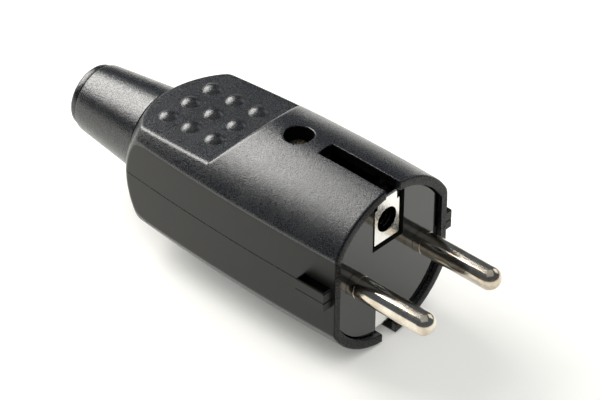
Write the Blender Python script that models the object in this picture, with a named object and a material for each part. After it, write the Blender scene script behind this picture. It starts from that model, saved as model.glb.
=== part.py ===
"""Rewireable mains plug with two round pins and earth contacts, in metres with +Z up.

The origin is the centre of the engagement face, the front of the contact carrier. The pins
point along -Y, the cable leaves along +Y, and the earth socket is above the pins. The plug is
two half shells that meet a little above mid height, clamped by one long screw. They hold the
contact carrier in a groove at the front and the kink sleeve in a groove at the rear.
"""

import math

import bmesh
import bpy
import numpy as np
from mathutils import Matrix

MM = 0.001

# Clearances
SEAT_GAP = 0.3 * MM
PARTING_GAP = 0.2 * MM
CUT_MARGIN = 2.0 * MM

# Housing barrel, which bulges along a shallow arc, flats included
SHELL_WALL = 2.21 * MM
FLAT_WALL = 1.74 * MM
FLAT_EDGE_HEIGHT = 9.19 * MM
BULGE_CENTRE = 12.3 * MM
BULGE_ARC = 537.0 * MM
RIM_FRONT = -1.0 * MM
RIM_ROUNDING = 0.35 * MM
PARTING_HEIGHT = 0.2 * MM

# Rear dome of the housing
REAR_EDGE = 53.65 * MM
REAR_APEX = 61.85 * MM
REAR_WALL_INSIDE = 56.0 * MM
REAR_OPENING_RADIUS = 7.3 * MM

# Grip panels, sunk into the top and the bottom of the housing
GRIP_FRONT = 35.2 * MM
GRIP_DEPTH = 6.12 * MM
GRIP_FALL = 0.055
GRIP_STEP_ANGLE = math.radians(50.0)
GRIP_DOT_CENTRE = 46.2 * MM
GRIP_DOT_PITCH = 6.23 * MM
GRIP_DOT_RADIUS = 2.1 * MM
GRIP_DOT_HEIGHT = 0.95 * MM

# Inside of the rear half
REAR_CAVITY_RADIUS = 9.6 * MM
CAVITY_TAPER_START = 28.0 * MM
CAVITY_TAPER_END = 33.2 * MM
CABLE_RIB_START = 36.5 * MM
CABLE_RIB_THICKNESS = 1.6 * MM
CABLE_RIB_BORE = 5.8 * MM
SLEEVE_RIB_THICKNESS = 1.8 * MM
SLEEVE_RIB_BORE = 8.0 * MM

# Side earth slots, top and bottom
SLOT_WIDTH = 4.1 * MM
SLOT_END = 16.5 * MM

# Lugs beside the parting line
LUG_REACH = 2.22 * MM
LUG_FRONT = -0.2 * MM
LUG_REAR = 7.3 * MM
LUG_ABOVE = 2.16 * MM
LUG_BELOW = 1.94 * MM
LUG_WALL = 0.45 * MM
LUG_ROOT = 0.8 * MM

# Contact carrier
CARRIER_WALL = 1.2 * MM
CARRIER_RELIEF = 0.45 * MM
RELIEF_BOTTOM = 0.7 * MM
CARRIER_PLATE = 3.0 * MM
CARRIER_FLANGE = 2.4 * MM
FLANGE_STEP = 0.75 * MM
CARRIER_REAR = 16.0 * MM
CARRIER_FLOOR = -6.5 * MM
CARRIER_TOP = 5.0 * MM
NOTCH_HALF_WIDTH = 4.4 * MM
NOTCH_BELOW_PLATE = 0.8 * MM
NOTCH_ABOVE_HOOK = 0.5 * MM

# Pins and their terminals
PIN_RADIUS = 2.4 * MM
PIN_TIP = -20.0 * MM
PIN_SPACING = 19.0 * MM
TERMINAL_FRONT = 6.3 * MM
TERMINAL_LENGTH = 10.6 * MM
TERMINAL_WIDTH = 6.4 * MM
WIRE_BORE_RADIUS = 1.75 * MM
WIRE_BORE_START = 9.0 * MM
TERMINAL_SCREW_PLACE = 12.0 * MM

# Earth contact bow and socket
BOW_THICKNESS = 0.8 * MM
BOW_WIDTH = 5.4 * MM
BOW_RECESS = 0.4 * MM
BOW_RUN_DEPTH = 2.15 * MM
BOW_CREST_DEPTH = 0.45 * MM
BOW_REAR = 14.0 * MM
BOW_BEND_RADIUS = 0.9 * MM
EARTH_PLATE_WIDTH = 6.9 * MM
EARTH_PLATE_BELOW_HOLE = 4.7 * MM
EARTH_PLATE_DEPTH = 2.6 * MM
LOWER_HOOK_LENGTH = 5.6 * MM
EARTH_HOLE_RADIUS = 2.7 * MM
SOCKET_WALL = 0.6 * MM
SOCKET_END_SPACE = 1.1 * MM

# Machine screws
SMALL_SHANK_RADIUS = 1.5 * MM
SMALL_HEAD_RADIUS = 2.4 * MM
SMALL_HEAD_HEIGHT = 1.6 * MM
SCREW_SLOT_WIDTH = 0.7 * MM
SCREW_SLOT_DEPTH = 0.7 * MM
TERMINAL_SCREW_LENGTH = 6.2 * MM
EARTH_SCREW_LENGTH = 4.6 * MM
EARTH_WASHER_THICKNESS = 0.8 * MM
WIRE_GUARD_THICKNESS = 0.4 * MM
WIRE_GUARD_WIDTH = 2.4 * MM
WIRE_GUARD_LENGTH = 7.0 * MM

# Housing screw, its nut and its bosses
HOUSING_SCREW_PLACE = 23.3 * MM
HOUSING_SHANK_RADIUS = 1.75 * MM
HOUSING_HEAD_RADIUS = 2.6 * MM
HOUSING_HEAD_HEIGHT = 2.0 * MM
HOUSING_HEAD_TOP = 15.6 * MM
SCREW_WELL_RADIUS = 3.0 * MM
SCREW_WASHER_THICKNESS = 0.6 * MM
BOSS_RADIUS = 4.6 * MM
NUT_ACROSS_FLATS = 6.0 * MM
NUT_THICKNESS = 2.6 * MM
NUT_SEAT = -11.4 * MM
NUT_SIDES = 6

# Cable clamp
CLAMP_PLACE = 44.0 * MM
CLAMP_BAR_INSET = 1.9 * MM
CLAMP_SCREW_INSET = 3.9 * MM
CLAMP_BAR_WIDTH = 5.6 * MM
CLAMP_BAR_THICKNESS = 2.6 * MM
CLAMP_BAR_ARCH = 1.1 * MM
CLAMP_POST_RADIUS = 1.9 * MM
CLAMP_POST_TOP = 0.5 * MM
CLAMP_SHANK_RADIUS = 1.0 * MM
CLAMP_HEAD_RADIUS = 1.9 * MM
CLAMP_HEAD_HEIGHT = 1.3 * MM
CLAMP_SCREW_LENGTH = 8.0 * MM

# Kink sleeve
SLEEVE_BASE_RADIUS = 9.1 * MM
SLEEVE_SHOULDER_RADIUS = 7.1 * MM
SLEEVE_SHOULDER = 77.8 * MM
SLEEVE_LIP_RADIUS = 6.8 * MM
SLEEVE_END = 79.9 * MM
SLEEVE_LIP_ROUNDING = 0.7 * MM
SLEEVE_BORE_RADIUS = 5.2 * MM
SLEEVE_FLANGE_THICKNESS = 3.0 * MM

# Facet counts
BARREL_FACETS = 72
SLEEVE_FACETS = 48
ROUND_FACETS = 24
SCREW_FACETS = 16
GRIP_DOT_FACETS = 14
SMOOTH_ANGLE = math.radians(32.0)

# Sizes that follow from the ones above
POCKET_HALF_WIDTH = 0.5 * TERMINAL_WIDTH + SEAT_GAP
CARRIER_FLAT = 0.5 * PIN_SPACING + POCKET_HALF_WIDTH + CARRIER_WALL
OPENING_FLAT = CARRIER_FLAT + SEAT_GAP
HOUSING_FLAT = OPENING_FLAT + FLAT_WALL
BARREL_RADIUS = math.hypot(HOUSING_FLAT, FLAT_EDGE_HEIGHT)
OPENING_RADIUS = BARREL_RADIUS - SHELL_WALL
REAR_EDGE_RADIUS = BARREL_RADIUS - (REAR_EDGE - BULGE_CENTRE) ** 2 / (2.0 * BULGE_ARC)
DOME_DEPTH = REAR_APEX - REAR_EDGE
DOME_RADIUS = (REAR_EDGE_RADIUS ** 2 + DOME_DEPTH ** 2) / (2.0 * DOME_DEPTH)
DOME_CENTRE = REAR_APEX - DOME_RADIUS
GRIP_HEIGHT = BARREL_RADIUS - GRIP_DEPTH
BOW_RUN_HEIGHT = OPENING_RADIUS - BOW_RUN_DEPTH
BOW_CREST_HEIGHT = OPENING_RADIUS - BOW_CREST_DEPTH
EARTH_HOLE_HEIGHT = BOW_RUN_HEIGHT - BOW_THICKNESS - SEAT_GAP - SOCKET_WALL - EARTH_HOLE_RADIUS
EARTH_PLATE_TOP = BOW_CREST_HEIGHT - EARTH_PLATE_DEPTH
EARTH_PLATE_BOTTOM = EARTH_HOLE_HEIGHT - EARTH_PLATE_BELOW_HOLE
LOWER_HOOK_TOP = LOWER_HOOK_LENGTH - BOW_CREST_HEIGHT
NOTCH_BOTTOM = EARTH_PLATE_BOTTOM - NOTCH_BELOW_PLATE
LOWER_NOTCH_TOP = LOWER_HOOK_TOP + NOTCH_ABOVE_HOOK
SOCKET_START = BOW_RECESS + BOW_THICKNESS + SEAT_GAP
SOCKET_END = BOW_REAR - BOW_THICKNESS - SOCKET_END_SPACE
FLANGE_FRONT = CARRIER_PLATE
FLANGE_REAR = FLANGE_FRONT + CARRIER_FLANGE
SLEEVE_FLANGE_REAR = REAR_WALL_INSIDE - SEAT_GAP
SLEEVE_FLANGE_FRONT = SLEEVE_FLANGE_REAR - SLEEVE_FLANGE_THICKNESS
SLEEVE_RIB_REAR = SLEEVE_FLANGE_FRONT - SEAT_GAP
SLEEVE_RIB_FRONT = SLEEVE_RIB_REAR - SLEEVE_RIB_THICKNESS
EARTH_WASHER_SIDE = BOW_WIDTH
CLAMP_BAR_LENGTH = 2.0 * (REAR_CAVITY_RADIUS - CLAMP_BAR_INSET)
CLAMP_SCREW_SPACING = 2.0 * (REAR_CAVITY_RADIUS - CLAMP_SCREW_INSET)
CLAMP_BAR_BOTTOM = CLAMP_POST_TOP + SEAT_GAP
CLAMP_BAR_TOP = CLAMP_BAR_BOTTOM + CLAMP_BAR_THICKNESS


def clear_scene():
    """Remove every object of the scene that the script starts in."""
    for item in list(bpy.data.objects):
        bpy.data.objects.remove(item)


def finish(name, colour, roughness, metallic=0.0):
    """Return a Principled material with one colour, roughness and metallic value."""
    material = bpy.data.materials.new(name)
    material.use_nodes = True
    shader = material.node_tree.nodes["Principled BSDF"]
    shader.inputs["Base Color"].default_value = (*colour, 1.0)
    shader.inputs["Roughness"].default_value = roughness
    shader.inputs["Metallic"].default_value = metallic
    return material


def solid(name, grid):
    """Turn a bmesh into an object of the scene, with its faces pointing out."""
    bmesh.ops.recalc_face_normals(grid, faces=grid.faces)
    mesh = bpy.data.meshes.new(name)
    grid.to_mesh(mesh)
    grid.free()
    item = bpy.data.objects.new(name, mesh)
    bpy.context.scene.collection.objects.link(item)
    return item


def revolve(name, profile, facets, closed=False):
    """Turn a profile of (radius, y) points about the Y axis.

    A point on the axis becomes one vertex. An open profile starts and ends on the axis, and a
    closed one is a loop clear of it.
    """
    grid = bmesh.new()
    angles = (np.arange(facets) + 0.5) * 2.0 * math.pi / facets
    rings = []
    for radius, along in profile:
        if radius <= 0.0:
            rings.append([grid.verts.new((0.0, along, 0.0))])
        else:
            rings.append([
                grid.verts.new((radius * math.sin(turn), along, radius * math.cos(turn)))
                for turn in angles
            ])
    pairs = list(zip(rings, rings[1:]))
    if closed:
        pairs.append((rings[-1], rings[0]))
    for first, second in pairs:
        for index in range(facets):
            after = (index + 1) % facets
            corners = [first[index % len(first)], first[after % len(first)],
                       second[after % len(second)], second[index % len(second)]]
            grid.faces.new(list(dict.fromkeys(corners)))
    return solid(name, grid)


def prism(name, outline, axis, start, end):
    """Extrude an outline of two coordinates along the third axis, X, Y or Z."""
    order = {"X": (2, 0, 1), "Y": (0, 2, 1), "Z": (0, 1, 2)}[axis]

    def corner(first, second, along):
        values = (first, second, along)
        return tuple(values[place] for place in order)

    grid = bmesh.new()
    near = [grid.verts.new(corner(first, second, start)) for first, second in outline]
    far = [grid.verts.new(corner(first, second, end)) for first, second in outline]
    grid.faces.new(near)
    grid.faces.new(far)
    for index in range(len(outline)):
        after = (index + 1) % len(outline)
        grid.faces.new([near[index], near[after], far[after], far[index]])
    return solid(name, grid)


def block(name, low, high):
    """Return a box between two opposite corners."""
    outline = [(low[0], low[1]), (high[0], low[1]), (high[0], high[1]), (low[0], high[1])]
    return prism(name, outline, "Z", low[2], high[2])


def rod(name, radius, start, end, facets=ROUND_FACETS):
    """Return a plain round rod on the Y axis."""
    return revolve(name, [(0.0, start), (radius, start), (radius, end), (0.0, end)], facets)


def moved(item, matrix):
    """Move the mesh of an object and return the object."""
    item.data.transform(matrix)
    return item


def upright(item, across, along):
    """Stand a piece turned about Y on its end, so that its axis is vertical at a place."""
    turn = Matrix.Rotation(math.radians(90.0), 4, "X")
    return moved(item, Matrix.Translation((across, along, 0.0)) @ turn)


def combine(item, tool, operation):
    """Apply one Boolean to an object, remove the tool, and return the object.

    An object may name its own solver. The housing and the contact carrier do, because many
    fine cuts meet in them.
    """
    modifier = item.modifiers.new(operation, "BOOLEAN")
    modifier.operation = operation
    modifier.solver = item.get("solver", "EXACT")
    modifier.object = tool
    graph = bpy.context.evaluated_depsgraph_get()
    mesh = bpy.data.meshes.new_from_object(item.evaluated_get(graph))
    item.modifiers.clear()
    item.data = mesh
    bpy.data.objects.remove(tool)
    return item


def cut(item, *tools):
    """Take each tool away from an object."""
    for tool in tools:
        combine(item, tool, "DIFFERENCE")
    return item


def join(item, *tools):
    """Add each tool to an object, as one body."""
    for tool in tools:
        combine(item, tool, "UNION")
    return item


def keep(item, *tools):
    """Keep what an object shares with each tool."""
    for tool in tools:
        combine(item, tool, "INTERSECT")
    return item


def done(item, name, material):
    """Name a finished piece, give it its material and shade its round faces smooth."""
    item.name = name
    item.data.name = name
    item.data.materials.clear()
    item.data.materials.append(material)
    item.data.shade_smooth()
    item.data.set_sharp_from_angle(angle=SMOOTH_ANGLE)
    return item


def barrel_radius(along):
    """Return the barrel's radius at a place: it falls off both ways along a shallow arc."""
    return BARREL_RADIUS - (along - BULGE_CENTRE) ** 2 / (2.0 * BULGE_ARC)


def flat_place(along):
    """Return how far a flat is from the middle plane: its long edges keep their height."""
    return math.sqrt(barrel_radius(along) ** 2 - FLAT_EDGE_HEIGHT ** 2)


def dome_place(radius):
    """Return where the rear dome has a given radius about the plug's axis."""
    return DOME_CENTRE + math.sqrt(DOME_RADIUS ** 2 - radius ** 2)


def grip_height(along):
    """Return the height of the grip panel, which falls gently towards the cable."""
    return GRIP_HEIGHT - GRIP_FALL * (along - GRIP_FRONT)


def outer_profile():
    """Return the housing's outline from the axis at the rim to the axis at the dome."""
    points = [(0.0, RIM_FRONT)]
    for turn in np.linspace(0.0, 90.0, 4):
        angle = math.radians(turn)
        radius = barrel_radius(RIM_FRONT + RIM_ROUNDING) - RIM_ROUNDING * (1.0 - math.sin(angle))
        points.append((radius, RIM_FRONT + RIM_ROUNDING * (1.0 - math.cos(angle))))
    for along in np.linspace(RIM_FRONT + RIM_ROUNDING, REAR_EDGE, 10)[1:-1]:
        points.append((barrel_radius(along), along))
    start = math.asin(REAR_EDGE_RADIUS / DOME_RADIUS)
    for angle in np.linspace(start, 0.0, 8):
        radius = DOME_RADIUS * math.sin(angle)
        points.append((radius, DOME_CENTRE + DOME_RADIUS * math.cos(angle)))
    points[-1] = (0.0, points[-1][1])
    return points


def cavity_profile():
    """Return the outline of the space inside the housing, with its two ribs left standing."""
    rib_end = CABLE_RIB_START + CABLE_RIB_THICKNESS
    end = REAR_APEX + CUT_MARGIN
    return [
        (0.0, RIM_FRONT - CUT_MARGIN),
        (OPENING_RADIUS, RIM_FRONT - CUT_MARGIN),
        (OPENING_RADIUS, CAVITY_TAPER_START),
        (REAR_CAVITY_RADIUS, CAVITY_TAPER_END),
        (REAR_CAVITY_RADIUS, CABLE_RIB_START),
        (CABLE_RIB_BORE, CABLE_RIB_START),
        (CABLE_RIB_BORE, rib_end),
        (REAR_CAVITY_RADIUS, rib_end),
        (REAR_CAVITY_RADIUS, SLEEVE_RIB_FRONT),
        (SLEEVE_RIB_BORE, SLEEVE_RIB_FRONT),
        (SLEEVE_RIB_BORE, SLEEVE_RIB_REAR),
        (REAR_CAVITY_RADIUS, SLEEVE_RIB_REAR),
        (REAR_CAVITY_RADIUS, REAR_WALL_INSIDE),
        (REAR_OPENING_RADIUS, REAR_WALL_INSIDE),
        (REAR_OPENING_RADIUS, end),
        (0.0, end),
    ]


def slab(half_width, start, end):
    """Return a tall slab that keeps what lies within a half width of the middle."""
    reach = 2.0 * BARREL_RADIUS
    return block("slab", (-half_width, start, -reach), (half_width, end, reach))


def flats():
    """Return the tall body between the two flats, which bulge like the barrel."""
    places = np.linspace(RIM_FRONT - CUT_MARGIN, REAR_APEX + CUT_MARGIN, 13)
    right = [(flat_place(along), along) for along in places]
    left = [(-across, along) for across, along in reversed(right)]
    reach = 2.0 * BARREL_RADIUS
    return prism("flats", right + left, "Z", -reach, reach)


def grip_cutter(side):
    """Return the wedge that sinks a grip panel, on the top (side 1) or the bottom (side -1)."""
    rear = REAR_APEX + CUT_MARGIN
    above = BARREL_RADIUS + CUT_MARGIN
    slope_start = GRIP_FRONT - (above - GRIP_HEIGHT) / math.tan(GRIP_STEP_ANGLE)
    outline = [
        (GRIP_FRONT, side * GRIP_HEIGHT),
        (rear, side * grip_height(rear)),
        (rear, side * above),
        (slope_start, side * above),
    ]
    reach = BARREL_RADIUS + CUT_MARGIN
    return prism("grip_cutter", outline, "X", -reach, reach)


def grip_dots(side):
    """Return the nine low domes of a grip panel as one tool."""
    sphere = (GRIP_DOT_RADIUS ** 2 + GRIP_DOT_HEIGHT ** 2) / (2.0 * GRIP_DOT_HEIGHT)
    edge = math.asin(GRIP_DOT_RADIUS / sphere)
    profile = [(0.0, -SEAT_GAP), (GRIP_DOT_RADIUS, -SEAT_GAP)]
    for angle in np.linspace(edge, 0.0, 4):
        profile.append((sphere * math.sin(angle), sphere * (math.cos(angle) - math.cos(edge))))
    profile[-1] = (0.0, GRIP_DOT_HEIGHT)
    lean = Matrix.Rotation(-side * math.atan(GRIP_FALL), 4, "X")
    stand = Matrix.Rotation(side * math.radians(90.0), 4, "X")
    dots = None
    for row in (-1, 0, 1):
        for column in (-1, 0, 1):
            along = GRIP_DOT_CENTRE + row * GRIP_DOT_PITCH
            dot = revolve("grip_dot", profile, GRIP_DOT_FACETS)
            place = (column * GRIP_DOT_PITCH, along, side * grip_height(along))
            moved(dot, Matrix.Translation(place) @ lean @ stand)
            dots = dot if dots is None else join(dots, dot)
    return dots


def housing_tube():
    """Return the whole housing before it is split: outer form, cavity and carrier groove."""
    start = RIM_FRONT - CUT_MARGIN
    end = REAR_APEX + CUT_MARGIN
    tube = revolve("housing", outer_profile(), BARREL_FACETS)
    tube["solver"] = "MANIFOLD"
    keep(tube, flats())
    cut(tube, grip_cutter(1), grip_cutter(-1))
    cavity = revolve("cavity", cavity_profile(), BARREL_FACETS)
    keep(cavity, slab(OPENING_FLAT, start - CUT_MARGIN, end + CUT_MARGIN))
    groove = rod("groove", OPENING_RADIUS + FLANGE_STEP, FLANGE_FRONT, FLANGE_REAR, BARREL_FACETS)
    keep(groove, slab(OPENING_FLAT + FLANGE_STEP, start, end))
    return cut(tube, cavity, groove)


def boss(side):
    """Return the boss for the housing screw, from the parting plane into the shell's wall."""
    start = PARTING_HEIGHT + side * 0.5 * PARTING_GAP
    end = side * (BARREL_RADIUS - 0.5 * SHELL_WALL)
    return upright(rod("boss", BOSS_RADIUS, start, end), 0.0, HOUSING_SCREW_PLACE)


def half_space(side):
    """Return a block that keeps one side of the parting plane, less half the parting gap."""
    reach = 2.0 * BARREL_RADIUS
    face = PARTING_HEIGHT + side * 0.5 * PARTING_GAP
    low = min(face, side * reach)
    high = max(face, side * reach)
    start = RIM_FRONT - CUT_MARGIN
    end = REAR_APEX + CUT_MARGIN
    return block("half", (-reach, start, low), (reach, end, high))


def earth_slot(side):
    """Return the cutter of a side earth slot, open at the rim and through the shell's wall."""
    half = 0.5 * SLOT_WIDTH
    depth = OPENING_RADIUS - SHELL_WALL
    low = min(side * depth, side * (BARREL_RADIUS + CUT_MARGIN))
    high = max(side * depth, side * (BARREL_RADIUS + CUT_MARGIN))
    return block("slot", (-half, RIM_FRONT - CUT_MARGIN, low), (half, SLOT_END, high))


def lug(side, low, high):
    """Return one lug on a flat: side is 1 for +X and -1 for -X."""
    near = side * (HOUSING_FLAT - LUG_ROOT)
    far = side * (HOUSING_FLAT + LUG_REACH)
    return block("lug", (min(near, far), LUG_FRONT, low), (max(near, far), LUG_REAR, high))


def lug_pocket(side, low, high):
    """Return the cutter of the open pocket between the flat and an upper lug's thin walls."""
    near = side * flat_place(LUG_FRONT)
    far = side * (HOUSING_FLAT + LUG_REACH - LUG_WALL)
    return block(
        "lug_pocket",
        (min(near, far), LUG_FRONT + LUG_WALL, low + LUG_WALL),
        (max(near, far), LUG_REAR - LUG_WALL, high + SEAT_GAP),
    )


def upper_shell(material):
    """Return the half shell with the screw well, above the parting plane."""
    shell = keep(housing_tube(), half_space(1))
    join(shell, grip_dots(1), boss(1))
    low = PARTING_HEIGHT + 0.5 * PARTING_GAP
    high = PARTING_HEIGHT + LUG_ABOVE
    for side in (-1, 1):
        join(shell, lug(side, low, high))
        cut(shell, lug_pocket(side, low, high))
    well_floor = HOUSING_HEAD_TOP - HOUSING_HEAD_HEIGHT - SCREW_WASHER_THICKNESS - 2.0 * SEAT_GAP
    well = rod("well", SCREW_WELL_RADIUS, well_floor, BARREL_RADIUS + CUT_MARGIN)
    bore = rod("bore", HOUSING_SHANK_RADIUS + SEAT_GAP, -CUT_MARGIN, BARREL_RADIUS)
    cut(shell, upright(well, 0.0, HOUSING_SCREW_PLACE), upright(bore, 0.0, HOUSING_SCREW_PLACE))
    cut(shell, earth_slot(1))
    return done(shell, "upper_shell", material)


def hexagon(across_flats):
    """Return the six corners of a hexagon in the plane of X and Y, about the housing screw."""
    step = 2.0 * math.pi / NUT_SIDES
    corner = 0.5 * across_flats / math.cos(0.5 * step)
    return [
        (corner * math.cos(step * k), HOUSING_SCREW_PLACE + corner * math.sin(step * k))
        for k in range(NUT_SIDES)
    ]


def lower_shell(material):
    """Return the half shell with the nut pocket and the cable clamp's posts."""
    shell = keep(housing_tube(), half_space(-1))
    join(shell, grip_dots(-1), boss(-1))
    high = PARTING_HEIGHT - 0.5 * PARTING_GAP
    low = PARTING_HEIGHT - LUG_BELOW
    for side in (-1, 1):
        join(shell, lug(side, low, high))
    pocket = prism("nut_pocket", hexagon(NUT_ACROSS_FLATS + 2.0 * SEAT_GAP), "Z",
                   -BARREL_RADIUS - CUT_MARGIN, NUT_SEAT)
    bore = rod("bore", HOUSING_SHANK_RADIUS + SEAT_GAP, -BARREL_RADIUS, CUT_MARGIN)
    cut(shell, pocket, upright(bore, 0.0, HOUSING_SCREW_PLACE))
    for side in (-1, 1):
        across = side * 0.5 * CLAMP_SCREW_SPACING
        post_foot = -REAR_CAVITY_RADIUS
        post = rod("post", CLAMP_POST_RADIUS, post_foot, CLAMP_POST_TOP)
        hole_end = CLAMP_BAR_TOP - CLAMP_SCREW_LENGTH - SEAT_GAP
        hole = rod("hole", CLAMP_SHANK_RADIUS + SEAT_GAP, hole_end, CLAMP_POST_TOP + CUT_MARGIN)
        join(shell, upright(post, across, CLAMP_PLACE))
        cut(shell, upright(hole, across, CLAMP_PLACE))
    cut(shell, earth_slot(-1))
    return done(shell, "lower_shell", material)


def carrier_disc(name, radius, flat, start, end):
    """Return a round disc with two flats, the outline that the carrier shares with the rim."""
    disc = rod(name, radius, start, end, BARREL_FACETS)
    return keep(disc, slab(flat, start - CUT_MARGIN, end + CUT_MARGIN))


def contact_carrier(material):
    """Return the insert that holds the pins and the earth bow."""
    radius = OPENING_RADIUS - SEAT_GAP
    flat = CARRIER_FLAT
    reach = BARREL_RADIUS
    carrier = carrier_disc("plate", radius, flat, 0.0, FLANGE_FRONT + SEAT_GAP)
    carrier["solver"] = "MANIFOLD"
    for side in (-1, 1):
        near = side * (flat - CARRIER_RELIEF)
        far = side * (flat + CUT_MARGIN)
        cut(carrier, block("relief", (min(near, far), -CUT_MARGIN, RELIEF_BOTTOM),
                           (max(near, far), FLANGE_FRONT, reach)))
    flange_end = FLANGE_REAR - SEAT_GAP
    join(carrier, carrier_disc("flange", radius + FLANGE_STEP, flat + FLANGE_STEP,
                               FLANGE_FRONT + SEAT_GAP, flange_end))
    join(carrier, block("body", (-flat, flange_end - 0.5 * CARRIER_FLANGE, CARRIER_FLOOR),
                        (flat, CARRIER_REAR, CARRIER_TOP)))
    cradle_top = EARTH_HOLE_HEIGHT - EARTH_HOLE_RADIUS - SOCKET_WALL - SEAT_GAP
    web_front = BOW_REAR - BOW_THICKNESS - SEAT_GAP
    join(carrier, block("cradle", (-NOTCH_HALF_WIDTH, flange_end - 0.5 * CARRIER_FLANGE, 0.0),
                        (NOTCH_HALF_WIDTH, web_front, cradle_top)))
    web_half = 0.5 * BOW_WIDTH + SEAT_GAP
    cut(carrier, block("web_space", (-web_half, web_front, -reach),
                       (web_half, CARRIER_REAR + CUT_MARGIN, reach)))
    half = POCKET_HALF_WIDTH
    for side in (-1, 1):
        centre = side * 0.5 * PIN_SPACING
        pocket = block("pocket", (centre - half, TERMINAL_FRONT - SEAT_GAP, -half),
                       (centre + half, CARRIER_REAR + CUT_MARGIN, CARRIER_TOP + CUT_MARGIN))
        hole = rod("pin_hole", PIN_RADIUS + SEAT_GAP, -CUT_MARGIN, TERMINAL_FRONT)
        cut(carrier, pocket, moved(hole, Matrix.Translation((centre, 0.0, 0.0))))
    notch_rear = flange_end + CUT_MARGIN
    cut(carrier, block("notch", (-NOTCH_HALF_WIDTH, -CUT_MARGIN, NOTCH_BOTTOM),
                       (NOTCH_HALF_WIDTH, BOW_RECESS + BOW_THICKNESS + SEAT_GAP, reach)))
    bow_half = 0.5 * BOW_WIDTH + SEAT_GAP
    bow_floor = BOW_RUN_HEIGHT - BOW_THICKNESS - SEAT_GAP
    cut(carrier, block("upper_channel", (-bow_half, -CUT_MARGIN, bow_floor),
                       (bow_half, notch_rear, reach)))
    cut(carrier, block("lower_channel", (-bow_half, -CUT_MARGIN, -reach),
                       (bow_half, notch_rear, -bow_floor)))
    cut(carrier, block("lower_notch", (-bow_half, -CUT_MARGIN, -reach),
                       (bow_half, BOW_RECESS + BOW_THICKNESS + SEAT_GAP, LOWER_NOTCH_TOP)))
    socket_bore = rod("socket_bore", EARTH_HOLE_RADIUS + SOCKET_WALL + SEAT_GAP, 0.0, notch_rear)
    moved(socket_bore, Matrix.Translation((0.0, 0.0, EARTH_HOLE_HEIGHT)))
    tip_space = rod("tip_space", SMALL_SHANK_RADIUS + SEAT_GAP,
                    BOW_REAR - EARTH_SCREW_LENGTH - SEAT_GAP, CARRIER_REAR)
    cut(carrier, socket_bore, tip_space)
    return done(carrier, "contact_carrier", material)


def contact_pin(name, side, material):
    """Return a round pin with its square terminal, bored for the wire and for the screw."""
    profile = [(0.0, PIN_TIP)]
    for turn in np.linspace(0.0, 90.0, 7)[1:]:
        angle = math.radians(turn)
        profile.append((PIN_RADIUS * math.sin(angle),
                        PIN_TIP + PIN_RADIUS * (1.0 - math.cos(angle))))
    overlap = TERMINAL_FRONT + 0.5 * PIN_RADIUS
    profile += [(PIN_RADIUS, overlap), (0.0, overlap)]
    pin = revolve(name, profile, ROUND_FACETS)
    half = 0.5 * TERMINAL_WIDTH
    end = TERMINAL_FRONT + TERMINAL_LENGTH
    join(pin, block("terminal", (-half, TERMINAL_FRONT, -half), (half, end, half)))
    cut(pin, rod("wire_bore", WIRE_BORE_RADIUS, WIRE_BORE_START, end + CUT_MARGIN))
    screw_bore = rod("screw_bore", SMALL_SHANK_RADIUS + SEAT_GAP, 0.0, half + CUT_MARGIN)
    cut(pin, upright(screw_bore, 0.0, TERMINAL_SCREW_PLACE))
    moved(pin, Matrix.Translation((side * 0.5 * PIN_SPACING, 0.0, 0.0)))
    return done(pin, name, material)


def machine_screw(shank_radius, shank_length, head_radius, head_height):
    """Return a slotted screw on the Y axis, its head's seat at zero and its head along +Y."""
    edge = 0.2 * head_height
    profile = [
        (0.0, -shank_length),
        (0.8 * shank_radius, -shank_length),
        (shank_radius, -shank_length + 0.3 * shank_radius),
        (shank_radius, 0.0),
        (head_radius, 0.0),
        (head_radius, head_height - edge),
        (head_radius - edge, head_height),
        (0.0, head_height),
    ]
    screw = revolve("screw", profile, SCREW_FACETS)
    reach = head_radius + CUT_MARGIN
    half = 0.5 * SCREW_SLOT_WIDTH
    slot = block("screw_slot", (-reach, head_height - SCREW_SLOT_DEPTH, -half),
                 (reach, head_height + CUT_MARGIN, half))
    return cut(screw, slot)


def terminal_screw(name, side, material):
    """Return the screw that clamps the wire in a pin's terminal, its head above the block."""
    screw = machine_screw(SMALL_SHANK_RADIUS, TERMINAL_SCREW_LENGTH - SMALL_HEAD_HEIGHT,
                          SMALL_HEAD_RADIUS, SMALL_HEAD_HEIGHT)
    seat = 0.5 * TERMINAL_WIDTH + 2.0 * SEAT_GAP + WIRE_BORE_RADIUS
    moved(screw, Matrix.Translation((0.0, seat, 0.0)))
    upright(screw, side * 0.5 * PIN_SPACING, TERMINAL_SCREW_PLACE)
    return done(screw, name, material)


def wire_guard(name, side, material):
    """Return the thin leaf in a terminal that keeps the screw's tip off the strands."""
    half = 0.5 * WIRE_GUARD_WIDTH
    seat = 0.5 * TERMINAL_WIDTH + 2.0 * SEAT_GAP + WIRE_BORE_RADIUS
    tip = seat - (TERMINAL_SCREW_LENGTH - SMALL_HEAD_HEIGHT)
    top = tip - SEAT_GAP
    start = WIRE_BORE_START + SEAT_GAP
    centre = side * 0.5 * PIN_SPACING
    leaf = block(name, (centre - half, start, top - WIRE_GUARD_THICKNESS),
                 (centre + half, start + WIRE_GUARD_LENGTH, top))
    return done(leaf, name, material)


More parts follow.
